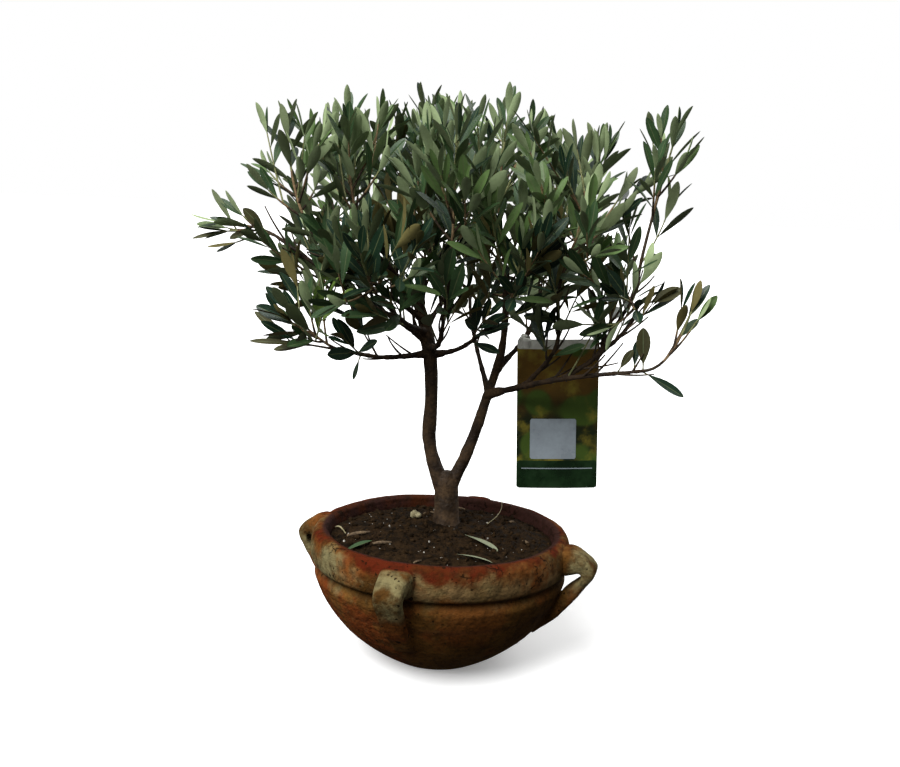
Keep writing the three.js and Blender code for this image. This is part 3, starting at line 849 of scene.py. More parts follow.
@dataclass(frozen=True)
class LeafFinish(Finish):
    """One plain leaf colour with a faint mottle and a leathery sheen."""

    name: str
    colour: Colour
    rough: float = 0.45
    shine: float = 0.45
    deeper: float = 0.72
    mottle: Cloud = Cloud(70.0, 0.3, 0.7)
    grain: Cloud = Cloud(900.0, 0.2, 0.8)

    def paint(self, web: Web, shader: bpy.types.Node) -> None:
        """Joins the finish's nodes to a shader."""
        cloud = self.mottle.mask(web)
        colour = web.mix(cloud, tuple(self.deeper * part for part in self.colour), self.colour)
        rough = web.scaled(cloud, 0.12, self.rough - 0.06)
        self.dress(web, shader, colour, rough, self.shine, self.grain.mask(web), 0.00012)


@dataclass(frozen=True)
class PrintFinish(Finish):
    """A blurred print of amber light and round green spots on satin card."""

    name: str
    amber: Colour = (0.14, 0.075, 0.011)
    straw: Colour = (0.28, 0.23, 0.03)
    green: Colour = (0.055, 0.095, 0.014)
    shade: Colour = (0.011, 0.018, 0.006)
    blur: Cloud = Cloud(28.0, 0.35, 0.65, 0.3)
    glow: Cloud = Cloud(40.0, 0.5, 0.72, 4.2)
    grain: Cloud = Cloud(700.0, 0.2, 0.8)
    rounds: float = 34.0
    round_edge: Flat = (0.5, 0.4)
    amber_above: Flat = (0.19, 0.26)

    def paint(self, web: Web, shader: bpy.types.Node) -> None:
        """Joins the print's nodes to a shader."""
        spot = web.spot()
        height = web.node("ShaderNodeSeparateXYZ", {0: spot}).outputs[2]
        blur = self.blur.mask(web)
        rounds = web.node("ShaderNodeTexVoronoi", {"Vector": spot, "Scale": self.rounds, "Smoothness": 0.35},
                            feature="SMOOTH_F1").outputs["Distance"]
        upper = web.ramp(web.math("ADD", height, web.times(blur, 0.02)), *self.amber_above)
        colour = web.mix(upper, self.shade, self.amber)
        colour = web.mix(web.ramp(rounds, *self.round_edge), colour, self.green)
        colour = web.mix(web.times(self.glow.mask(web), 0.75), colour, self.straw)
        self.dress(web, shader, colour, web.scaled(blur, 0.1, 0.32), 0.25, self.grain.mask(web), 0.00005)


CLAY = ClayFinish("weathered_terracotta")
MIX = GroundFinish("potting_mix", (0.0045, 0.0026, 0.001), (0.026, 0.0145, 0.0062), (0.08, 0.052, 0.029),
                   120.0, 600.0, 0.3, shine=0.04)
CRUMB = GroundFinish("mix_crumb", (0.007, 0.004, 0.0016), (0.036, 0.0205, 0.009), (0.085, 0.057, 0.032),
                     200.0, 900.0, 0.3, shine=0.04)
GRIT = GroundFinish("white_grit", (0.3, 0.28, 0.24), (0.55, 0.52, 0.46), (0.7, 0.68, 0.62), 300.0, 900.0, 0.2)
CHIP = GroundFinish("wood_chip", (0.07, 0.045, 0.025), (0.2, 0.14, 0.08), (0.32, 0.25, 0.16), 200.0, 800.0, 0.3)
STRAW = GroundFinish("dry_straw", (0.2, 0.17, 0.09), (0.38, 0.34, 0.2), (0.5, 0.46, 0.3), 200.0, 800.0, 0.2,
                     rough=0.7)
BARK = GroundFinish("trunk_bark", (0.021, 0.012, 0.006), (0.08, 0.047, 0.022), (0.15, 0.11, 0.067),
                    70.0, 900.0, 0.35, 0.5, 0.85, 0.25, 0.0007)
BOUGH_BARK = GroundFinish("bough_bark", (0.016, 0.009, 0.0045), (0.056, 0.034, 0.017), (0.12, 0.088, 0.055),
                          110.0, 1100.0, 0.3, 0.4, 0.85, 0.25, 0.0005)
TWIGS = {
    Wood.OLD: GroundFinish("old_twig", (0.03, 0.02, 0.012), (0.085, 0.06, 0.036), (0.16, 0.13, 0.09),
                           150.0, 1400.0, 0.3),
    Wood.RED: GroundFinish("red_twig", (0.14, 0.09, 0.045), (0.28, 0.19, 0.1), (0.36, 0.28, 0.17),
                           150.0, 1400.0, 0.25),
    Wood.GREEN: GroundFinish("green_twig", (0.16, 0.17, 0.07), (0.3, 0.31, 0.14), (0.4, 0.4, 0.22),
                             150.0, 1400.0, 0.2, rough=0.6),
}
LEAVES = {
    Leaf.FRESH: LeafFinish("fresh_leaf", (0.092, 0.158, 0.046), 0.42, 0.35),
    Leaf.GREEN: LeafFinish("green_leaf", (0.034, 0.075, 0.025), 0.4, 0.35),
    Leaf.DEEP: LeafFinish("deep_leaf", (0.0115, 0.034, 0.0165), 0.38, 0.35),
    Leaf.SAGE: LeafFinish("sage_underleaf", (0.33, 0.42, 0.215), 0.58, 0.2),
    # The next two underleaves are the sage underside darkened as painted shade, the second also warmed as a
    # painted reflection of the ground.
    Leaf.GREY: LeafFinish("shaded_sage_underleaf", (0.16, 0.2, 0.098), 0.58, 0.2),
    Leaf.OLIVE: LeafFinish("shaded_olive_underleaf", (0.165, 0.143, 0.049), 0.6, 0.2),
    Leaf.YOUNG: LeafFinish("young_leaf", (0.105, 0.175, 0.03), 0.42),
    Leaf.RIB: LeafFinish("leaf_rib", (0.11, 0.14, 0.06), 0.5, 0.3),
    Leaf.DRY: LeafFinish("dry_leaf", (0.22, 0.24, 0.155), 0.7, 0.15),
    Leaf.SHADED: LeafFinish("shaded_leaf", (0.06, 0.058, 0.02), 0.6, 0.2),
}
PAPERS = {
    Paper.PRINT: PrintFinish("card_print"),
    Paper.BAND: GroundFinish("card_band", (0.003, 0.013, 0.003), (0.007, 0.03, 0.006), (0.011, 0.04, 0.01),
                             60.0, 900.0, 0.1, rough=0.35, shine=0.4, depth=0.00005),
    Paper.LABEL: GroundFinish("card_label", (0.26, 0.3, 0.33), (0.32, 0.37, 0.41), (0.37, 0.42, 0.46),
                              60.0, 900.0, 0.1, rough=0.4, shine=0.4, depth=0.00005),
    Paper.HANGER: GroundFinish("card_hanger", (0.6, 0.6, 0.53), (0.75, 0.75, 0.67), (0.8, 0.8, 0.72),
                               60.0, 900.0, 0.1, rough=0.4, shine=0.4, depth=0.00005),
}
FLOOR = GroundFinish("pale_floor", (0.9, 0.9, 0.895), (0.93, 0.93, 0.925), (0.94, 0.94, 0.935),
                     4.0, 60.0, 0.1, 0.05, 0.95, 0.1, 0.0)


def show(name: str, shape: Shape, finishes: Iterable[Finish], nodes: Sequence[str],
         turn: float = TREE_TURN) -> None:
    """Puts a piece in the scene in place of CAD nodes.

    Args:
        name: The piece's name.
        shape: Its mesh in the making.
        finishes: Its finishes, in the order of the faces' numbers.
        nodes: The CAD nodes that it stands for.
        turn: The turn of its own frame about Z, in radians.
    """
    mesh = shape.mesh(name, turn)
    piece = put(name, mesh)
    for finish in finishes:
        mesh.materials.append(finish.material())
    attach(piece, "root")
    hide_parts(*nodes)
    LOG.info("%s: %d faces for %s", name, len(mesh.polygons), ", ".join(nodes))


@dataclass
class Studio:
    """A wide pale floor, soft light and the photo's camera."""

    eye: Point = (1.7, -850.0, 370.0)
    pitch: float = math.radians(9.56)
    roll: float = math.radians(2.51)
    lens: float = 42.88
    sensor: float = 36.0
    sight: Flat = (0.01, 50.0)
    floor_radius: float = 40000.0
    floor_sides: int = 96
    floor_glow: float = 0.25
    daylight: float = 5.0
    from_side: Point = (-0.45, -0.52, 0.73)
    backlight: float = 1.3
    from_back: Point = (0.6, 0.55, 0.58)
    spread: float = math.radians(46)
    fill: float = 0.09
    sky: float = 1.0
    sky_above: Flat = (0.3, 1.0)
    backdrop: float = 1.0

    def build(self) -> None:
        """Builds the floor, the lights and the camera."""
        self.build_floor()
        self.build_light()
        self.build_world()
        bpy.context.scene.view_settings.view_transform = "Standard"
        self.build_camera()

    def build_world(self) -> None:
        """Sets a sky that is brightest overhead, and a pale backdrop."""
        world = bpy.data.worlds.new("soft_world")
        world.use_nodes = True
        web = Web(world.node_tree)
        seen = web.node("ShaderNodeLightPath").outputs["Is Camera Ray"]
        heading = web.node("ShaderNodeTexCoord").outputs["Generated"]
        height = web.node("ShaderNodeSeparateXYZ", {0: heading}).outputs[2]
        light = web.scaled(web.ramp(height, *self.sky_above), self.sky - self.fill, self.fill)
        unseen = web.math("SUBTRACT", 1.0, seen)
        power = web.math("ADD", web.times(light, unseen), web.times(seen, self.backdrop))
        background = world.node_tree.nodes["Background"].inputs
        web.link(power, background["Strength"])
        web.link((1.0, 1.0, 1.0), background["Color"])
        bpy.context.scene.world = world

    def build_floor(self) -> None:
        """Builds a wide level floor that sends no stray light up at the plant."""
        turns = np.linspace(0, FULL_TURN, self.floor_sides, endpoint=False)
        sheet = Shape()
        sheet.fan(self.floor_radius * np.stack([np.cos(turns), np.sin(turns), 0 * turns], axis=-1))
        mesh = sheet.mesh("floor")
        pale = FLOOR.material()
        shader = pale.node_tree.nodes["Principled BSDF"]
        shader.inputs["Emission Color"].default_value = (1.0, 1.0, 1.0, 1.0)
        shader.inputs["Emission Strength"].default_value = self.floor_glow
        mesh.materials.append(pale)
        floor = put("floor", mesh)
        floor.visible_diffuse = floor.visible_glossy = False

    def build_light(self) -> None:
        """Adds broad soft daylight from the upper left, and weak light from behind on the right."""
        for name, power, side in (("daylight", self.daylight, self.from_side),
                                  ("backlight", self.backlight, self.from_back)):
            lamp = bpy.data.lights.new(name, "SUN")
            lamp.energy, lamp.angle = power, self.spread
            source = Matrix.Rotation(TREE_TURN, 3, "Z") @ Vector(side)
            put(name, lamp).matrix_world = source.to_track_quat("Z", "Y").to_matrix().to_4x4()

    def build_camera(self) -> None:
        """Adds the camera at the photo's angle."""
        right = Vector((1, 0, 0))
        up = Vector((0, math.sin(self.pitch), math.cos(self.pitch)))
        c, s = math.cos(self.roll), math.sin(self.roll)
        aside, above = c * right + s * up, c * up - s * right
        axes = Matrix((aside, above, aside.cross(above))).transposed().to_4x4()
        lens = bpy.data.cameras.new("photo_camera")
        lens.lens, lens.sensor_width = self.lens, self.sensor
        lens.clip_start, lens.clip_end = self.sight
        camera = put("photo_camera", lens)
        place = Matrix.Translation(Vector(self.eye) * MM) @ axes
        camera.matrix_world = Matrix.Rotation(TREE_TURN, 4, "Z") @ place
        bpy.context.scene.camera = camera


@dataclass
class Bowl:
    """The turned bowl, a little uneven from the potter's hands. Its outline is in radius and height."""

    turns: int = 288
    foot: tuple[Flat, ...] = ((0.5, 0.0), (20, 0.0), (37, 0.0), (40, 0.4))
    heel: Flat = (41, 1)
    runs: Rows = (
        ((90, 28), (103, 70), 70), ((103, 74.5), (100.6, 77), 9), ((100.4, 79.6), (103.8, 81), 6),
        ((106.4, 83.5), (106.4, 92), 11), ((106.2, 107), (98, 107), 16), ((92.5, 107), (92.5, 103), 9),
        ((91.5, 100), (91, 96), 8), ((91.5, 83), (92, 70), 5), ((80, 34), (34, 9), 12))
    inner_floor: tuple[Flat, ...] = ((15.0, 9.0), (0.5, 9.0))
    wobble: tuple[Wave, ...] = ((0.013, 3.0, 0.7), (0.05, 9.0, 0.35))
    spiral: tuple[float, float] = (0.01, 5.0)
    throwing_lines: float = 0.42
    line_depth: Wave = (1.0, 2.0, 0.22)
    coarseness: Wave = (0.3, 7.0, 0.1)
    rim_sway: Wave = (0.022, 4.0, 0.9)
    rim_waves: Wave = (0.09, 8.0, 0.35)
    patch_foot: float = 14.0
    patch_turns: int = 33

    def profile(self) -> Array:
        """The bowl's outline from the middle of its underside, up its wall, over its rim and down inside.

        Returns:
            Rows of radius and height.
        """
        rows, start = [np.array(self.foot)], self.heel
        for bend, end, steps in self.runs:
            ends = (np.array(point, dtype=float) for point in (start, bend, end))
            rows.append(bow(*ends, np.linspace(0, 1, steps + 1)[1:, None]))
            start = end
        return np.vstack([*rows, np.array(self.inner_floor)])

    def skin(self, outline: Array, turns: Array) -> Array:
        """Turns an outline about the axis and makes it uneven.

        Args:
            outline: Rows of radius and height.
            turns: The turns about Z, in radians.

        Returns:
            Outline points by turns by x, y, z.
        """
        rows = np.stack([outline[:, :1] * np.cos(turns), outline[:, :1] * np.sin(turns),
                         np.broadcast_to(outline[:, 1:], (len(outline), len(turns)))], axis=-1)
        flat = rows.reshape(-1, 3)
        height = flat[:, 2]
        thrown = np.column_stack([np.zeros(len(flat)), ripple(flat, *self.spiral), height * self.throwing_lines])
        lines = waves(thrown, self.line_depth) + waves(flat, self.coarseness)
        free = np.clip(height / 8, 0, 1) * np.clip((np.hypot(flat[:, 0], flat[:, 1]) - 60) / 15, 0, 1)
        shift = (waves(flat, *self.wobble) + lines) * free
        flat = flat + unit(flat * (1, 1, 0)) * shift[:, None]
        rim = np.clip((height - 95) / 10, 0, 1)
        flat[:, 2] += rim * (waves(flat * (1, 1, 0), self.rim_sway) + waves(flat, self.rim_waves))
        return flat.reshape(rows.shape)

    def patch(self, turn: float, spread: float, depth: float) -> Array:
        """A piece of the outer wall, sunk under its surface.

        Args:
            turn: The turn of its middle about Z, in radians.
            spread: How far it goes to each side, in radians.
            depth: How far it is sunk.

        Returns:
            Outline points by turns by x, y, z.
        """
        outline = self.profile()
        outline = outline[len(self.foot):np.argmax(outline[:, 1]) + 1]
        along = unit(np.gradient(outline, axis=0))
        sunk = outline - depth * along[:, ::-1] * (1, -1)
        turns = np.linspace(turn - spread, turn + spread, self.patch_turns)
        return self.skin(sunk[sunk[:, 1] > self.patch_foot], turns)

    def build(self) -> None:
        """Builds the bowl in place of its CAD node."""
        turns = np.linspace(0, FULL_TURN, self.turns, endpoint=False)
        wall = Shape()
        wall.rings(self.skin(self.profile(), turns)[:, ::-1])
        show("bowl_clay", wall, [CLAY], ["bowl"], 0.0)


@dataclass
class Handles:
    """The four strap handles, pulled from clay, thick at the rim and pressed on to the wall below.

    Each row of sides has a name, how far the handle is drawn in, and its share of the undercut.
    """

    bowl: Bowl
    sides: Rows = (
        ("right", 0.0, 0.0), ("back", 0.0, 0.5), ("left", 4.0, 0.0), ("front", 0.0, 1.0))
    outer: tuple[Flat, ...] = (
        (97, 103), (106, 106), (112, 105.4), (118.6, 102.4), (125, 97.6), (129.3, 93), (130.4, 89),
        (128.8, 83.3), (124.4, 76.5), (118, 67), (111, 57.5), (103, 48.5), (94.5, 40.5), (83, 31))
    inner: tuple[Flat, ...] = (
        (97, 80), (105, 82), (112, 84.6), (116.6, 86), (118.8, 84.8), (117.6, 81.3), (110.8, 75.5),
        (104.2, 69.5), (100.5, 63), (95.5, 56), (90.5, 49.5), (84.5, 43), (77, 36))
    undercut: tuple[float, ...] = (0, 0, 0, 0, 0, 0.8, 3.4, 5.1, 4.3, 4.0, 2.9, 1.5, 0)
    width: float = 21.0
    squareness: float = 0.6
    dishing: float = 0.1
    spread: float = 0.26
    pad: Flat = (0.7, 4.5)
    steps: int = 64
    corners: int = 40
    first_seed: float = 11.0
    voxel: float = 0.85
    smoothing: int = 6

    def strap(self, drawn_in: float, hollow: float, turn: float, seed: float) -> Shape:
        """One handle, joined softly to the wall behind it.

        Args:
            drawn_in: How far its free part is drawn in towards the axis.
            hollow: How much of the undercut its lower part has, from 0 to 1.
            turn: Its turn about Z from +X, in radians.
            seed: A shift that makes its unevenness its own.

        Returns:
            The handle's mesh.
        """
        shares = np.linspace(0, 1, self.steps + 1)
        inner = [(r + hollow * cut, z) for (r, z), cut in zip(self.inner, self.undercut)]
        out, back = (Route.through([(r, 0.0, z) for r, z in line]).at(shares) for line in (self.outer, inner))
        for line in (out, back):
            line[:, 0] -= drawn_in * np.clip((line[:, 0] - 100) / 20, 0, 1)
        turns = around(self.corners)
        aside, deep = (np.sign(way) * np.abs(way) ** self.squareness for way in (np.cos(turns), np.sin(turns)))
        deep = deep * (1 - self.dishing * (1 - aside**2) * (deep > 0))
        root = 1.5 * np.exp(-shares * 7) + 0.4 * np.exp(-(1 - shares) * 6)
        wide = self.width / 2 * (1.04 + 0.34 * root - 0.34 * shares**2)
        rows = []
        for outside, inside, half in zip(out, back, wide):
            middle, reach = (outside + inside) / 2, (outside - inside) / 2
            rows.append(middle + deep[:, None] * reach + half * aside[:, None] * (0, 1, 0))
        strap = Shape()
        strap.rings(np.array(rows)[:, ::-1] @ about_z(turn).T)
        strap.swell(waves(strap.points(), (0.06, seed, 0.7), (0.2, seed + 3, 0.35)))
        strap.slab(*(self.bowl.patch(turn, self.spread, depth) for depth in self.pad))
        return strap.fused(self.voxel, self.smoothing)

    def build(self) -> None:
        """Builds each handle in place of its CAD node."""
        for quarter, (side, drawn_in, hollow) in enumerate(self.sides):
            strap = self.strap(drawn_in, hollow, quarter * math.pi / 2, self.first_seed + quarter)
            show(f"{side}_handle_clay", strap, [CLAY], [f"{side}_handle"], 0.0)


class Blades:
    """A crowd of leaves, each a folded blade with a pale midrib and a lighter underside."""

    OUTLINE = ((0.0, 0.1), (0.07, 0.12), (0.18, 0.39), (0.33, 0.71), (0.48, 0.93), (0.62, 1.0), (0.76, 0.92),
               (0.88, 0.67), (0.96, 0.36), (1.0, 0.06))
    RIB = 0.06
    THICKNESS = 0.4

    def __init__(self) -> None:
        """Starts with no leaves."""
        self.frames: list[Array] = []
        self.sizes: list[tuple[float, float, float, float]] = []
        self.finishes: list[tuple[int, int]] = []

    def add(self, root: Array, along: Array, face: Array, length: float, slim: float,
            fold: float, curl: float, finishes: tuple[Leaf, Leaf]) -> None:
        """Adds a leaf.

        Args:
            root: Where it leaves its twig.
            along: The direction of its midrib.
            face: The direction that its upper side faces.
            length: Its length.
            slim: Its width as a share of its length.
            fold: How far its edges rise for each unit of width.
            curl: How far its tip rises, as a share of its length.
            finishes: Those of its upper side and underside.
        """
        across = unit(np.cross(along, face))
        self.frames.append(np.stack([root, along, across, np.cross(across, along)]))
        self.sizes.append((length, slim * length / 2, fold, curl))
        self.finishes.append((finishes[0].value, finishes[1].value))

    def shape(self) -> Shape:
        """Makes the mesh of all the leaves.

        Returns:
            The mesh.
        """
        outline = np.array(self.OUTLINE)
        root, along, across, up = np.array(self.frames).transpose(1, 0, 2)[:, :, None, None]
        length, half, fold, curl = np.array(self.sizes).T[:, :, None, None]
        top, low = np.array(self.finishes).T
        rib = np.full(len(top), Leaf.RIB.value)
        shape = Shape()
        for columns, sunk, strips in (((-1, -self.RIB, self.RIB, 1), 0.0, (top, rib, top)),
                                      ((-1, 0, 1), self.THICKNESS, (low, low))):
            aside = outline[:, 1:] * np.array(columns, dtype=float)
            depth = sunk * (1 - np.abs(columns)) * np.minimum(outline[:, 1:] * 2, 1)
            way = np.broadcast_to(outline[:, :1], aside.shape)
            wide = aside * half
            rise = np.abs(wide) * fold + curl * length * way**2 - depth
            corners = (root + way[None, ..., None] * length[..., None] * along + wide[..., None] * across
                       + rise[..., None] * up)
            self.fill(shape, corners, strips, sunk > 0)
        return shape

    @staticmethod
    def fill(shape: Shape, corners: Array, strips: Sequence[Array], turned: bool) -> None:
        """Joins one side of every leaf to the mesh.

        Args:
            shape: The mesh.
            corners: Leaves by corners along by corners across by x, y, z.
            strips: The finish of each strip along the leaves, for each leaf.
            turned: Whether the faces look down.
        """
        count, rows, columns = corners.shape[:3]
        row, column = np.meshgrid(np.arange(rows - 1), np.arange(columns - 1), indexing="ij")
        first = row * columns + column
        quads = np.stack([first, first + 1, first + columns + 1, first + columns], axis=-1).reshape(-1, 4)
        quads = quads[:, ::-1] if turned else quads
        faces = (quads[None] + (np.arange(count) * rows * columns)[:, None, None]).reshape(-1, 4)
        finish = np.stack(strips, axis=-1)[:, None, :]
        shape.add(corners, faces, np.broadcast_to(finish, (count, rows - 1, columns - 1)).reshape(-1))


@dataclass
class Soil:
    """Crumbly potting mix, heaped a little to the trunk, with grit, chips and fallen leaves on it."""

    edge: float = 91.2
    edge_height: float = 98.2
    underside: float = 80.0
    seat_height: float = 104.0
    seat_radius: float = 44.0
    sunk: float = 0.8
    foot: Flat = (4.0, 24.0)
    mound: Flat = (15.0, 1.2)
    swells: tuple[Wave, ...] = ((0.04, 1.0, 1.1), (0.13, 6.0, 0.8))
    clods: tuple[Wave, ...] = ((0.16, 3.0, 1.9), (0.4, 8.0, 0.9))
    mean_clod: float = 0.9
    calm_edge: Flat = (84.0, 7.0)
    bed_rings: int = 110
    bed_turns: int = 300
    strewn: Rows = (
        ("soil_crumbs", 900, (0.6, 2.6), 5, CRUMB), ("soil_grit", 70, (0.35, 1.1), 17, GRIT))
    strewn_radius: float = 89.0
    lump_rings: int = 4
    lump_sides: int = 7
    lump_pole: float = 0.25
    flatness: float = 0.8
    chips: Rows = (
        ((-16.7, 48), (-4, 53), 1.0), ((-54, -40), (-39, -35.5), 1.5), ((-76, -17), (-58, -9.5), 1.7),
        ((58, 41), (63, 45), 1.2), ((30, -20), (36, -25), 1.1), ((-20, -74), (-14, -70), 1.0),
        ((66, -14), (72, -20), 1.3), ((8, 74), (20, 78), 1.2))
    chip_lift: float = 0.5
    pebbles: Rows = ((3.7, (-24.0, 36.5, 106.0)), (2.9, (-20.6, 34.8, 105.6)))
    pebble_seed: int = 23
    straw: tuple[Flat, Flat, float, float] = ((-90, 17), (-78, -9), 0.75, 3.0)
    stalk: tuple[Point, ...] = ((38, 21, 104.6), (47, 40, 106.5), (52, 62, 109), (51.5, 78, 113))
    stalk_radii: tuple[float, ...] = (0.34, 0.28, 0.2)
    fallen: Rows = (
        ((-75, -53), (-55, -33), Leaf.GREEN), ((19, -14), (45, -44), Leaf.DRY), ((12, -64), (40, -69), Leaf.DRY))
    fallen_lift: float = 3.2
    fallen_face: Point = (0.1, 0.2, 1.0)
    fallen_form: tuple[float, float, float] = (0.24, 0.35, -0.05)

    def level(self, points: Array) -> Array:
        """The height of the soil, crumbs included.

        Args:
            points: Rows of x and y in the tree's frame.

        Returns:
            One height for each point.
        """
        far = np.hypot(points[:, 0], points[:, 1])
        slope = np.clip((far - self.seat_radius) / (self.edge - self.seat_radius), 0, 1)
        place = np.column_stack([points, np.zeros(len(points))])
        width, rise = self.mound
        mound = np.exp(-(np.hypot(points[:, 0] - self.foot[0], points[:, 1] - self.foot[1]) / width) ** 2)
        crumb = sum(np.maximum(lumps(place, scale, seed), 0) * high for scale, seed, high in self.clods)
        calm = 1 - 0.5 * np.clip((far - self.calm_edge[0]) / self.calm_edge[1], 0, 1)
        base = self.seat_height - self.sunk - (self.seat_height - self.edge_height) * slope**2
        return base + mound * rise + (waves(place, *self.swells) + crumb - self.mean_clod) * calm

    def build(self) -> None:
        """Builds the soil and what lies on it, in place of its CAD node."""
        self.build_bed()
        for name, count, sizes, seed, finish in self.strewn:
            self.scatter(name, count, sizes, seed, finish)
        self.build_litter()
        self.build_leaves()

    def build_bed(self) -> None:
        """Builds the bed of soil."""
        radii = np.linspace(1.0, self.edge, self.bed_rings)[:, None]
        turns = np.linspace(0, FULL_TURN, self.bed_turns, endpoint=False)
        flat = np.stack([radii * np.cos(turns), radii * np.sin(turns)], axis=-1).reshape(-1, 2)
        rows = np.column_stack([flat, self.level(flat)]).reshape(len(radii), len(turns), 3)
        rim = rows[-1] * (0.985, 0.985, 0) + (0, 0, self.underside)
        bed = Shape()
        bed.rings(np.concatenate([rows, rim[None]]))
        show("soil_bed", bed, [MIX], ["soil"])

    def drop(self, heap: Shape, random: np.random.Generator, size: float, place: Point, finish: int = 0) -> None:
        """Drops a small uneven lump.

        Args:
            heap: The mesh that it joins.
            random: The source of its unevenness.
            size: Its mean radius.
            place: Where its middle lies.
            finish: The number of its finish.
        """
        rings, sides = self.lump_rings, self.lump_sides
        lean = np.linspace(self.lump_pole, math.pi - self.lump_pole, rings)[:, None]
        turn = around(sides)
        ball = np.stack([np.sin(lean) * np.cos(turn), np.sin(lean) * np.sin(turn),
                         np.broadcast_to(np.cos(lean) * self.flatness, (rings, sides))], axis=-1).reshape(-1, 3)
        ball = ball * random.uniform(0.75, 1.25, (len(ball), 1)) * random.uniform(0.7, 1.3, 3) * size
        near, start = np.arange(sides), np.arange(rings - 1)[:, None] * sides
        after, end, pole = np.roll(near, -1), len(ball) - sides, np.full(sides, len(ball))
        quads = np.stack([start + near, start + sides + near, start + sides + after, start + after], axis=-1)
        fans = np.stack([[pole, near, after], [pole + 1, end + after, end + near]]).transpose(0, 2, 1)
        corners = np.vstack([ball, ball[:sides].mean(axis=0), ball[-sides:].mean(axis=0)]) + place
        heap.add(corners, quads.reshape(-1, 4), finish)
        heap.add(corners, fans.reshape(-1, 3), finish)

    def scatter(self, name: str, count: int, sizes: Flat, seed: int, finish: Finish) -> None:
        """Strews crumbs over the bed.

        Args:
            name: The piece's name.
            count: How many crumbs.
            sizes: Their least and largest mean radius.
            seed: The seed of their places.
            finish: Their finish.
        """
        random = np.random.default_rng(seed)
        far = self.strewn_radius * np.sqrt(random.uniform(0, 1, count))
        turn = random.uniform(0, FULL_TURN, count)
        spots = np.column_stack([far * np.cos(turn), far * np.sin(turn)])
        heap = Shape()
        for spot, height in zip(spots, self.level(spots)):
            size = sizes[0] + (sizes[1] - sizes[0]) * random.uniform() ** 3
            self.drop(heap, random, size, (*spot, height + 0.25 * size))
        show(name, heap, [finish], ["soil"])

    def build_litter(self) -> None:
        """Lays the chips with two pale pebbles, and the straws."""
        random = np.random.default_rng(self.pebble_seed)
        chips, straws = Shape(), Shape()
        for start, end, radius in self.chips:
            self.lay(chips, start, end, radius, self.chip_lift)
        for size, place in self.pebbles:
            self.drop(chips, random, size, place, 1)
        show("soil_chips", chips, [CHIP, STRAW], ["soil"])
        self.lay(straws, *self.straw)
        straws.tube(Route.through(self.stalk), self.stalk_radii, 24, 6)
        show("soil_straws", straws, [STRAW], ["soil"])

    def build_leaves(self) -> None:
        """Lays the fallen leaves."""
        fallen = Blades()
        for start, end, finish in self.fallen:
            ends = np.array([start, end], dtype=float)
            root, tip = np.column_stack([ends, self.level(ends) + self.fallen_lift])
            fallen.add(root, unit(tip - root), np.array(self.fallen_face), float(np.linalg.norm(tip - root)),
                       *self.fallen_form, (finish, finish))
        show("fallen_leaves", fallen.shape(), [LEAVES[kind] for kind in Leaf], ["soil"])

    def lay(self, heap: Shape, start: Flat, end: Flat, radius: float, lift: float) -> None:
        """Lays a chip or straw on the soil.

        Args:
            heap: The mesh that it joins.
            start: Where it starts, as x and y.
            end: Where it ends.
            radius: Half its thickness.
            lift: How far its middle stands above the soil.
        """
        shares = np.linspace(0, 1, 5)
        flat = np.outer(1 - shares, start) + np.outer(shares, end)
        ends = self.level(flat[[0, -1]]) + radius * 0.5
        heights = ends[0] * (1 - shares) + ends[1] * shares + lift * np.sin(math.pi * shares)
        route = Route.through(np.column_stack([flat, heights]))
        heap.tube(route, [0.6 * radius, radius, 0.9 * radius, 0.5 * radius], 10, 7)


@dataclass
class Limb:
    """A trunk, stem or bough: its curve, and its radius at shares of its length."""

    route: Route
    radii: Callable[[Array], Array]


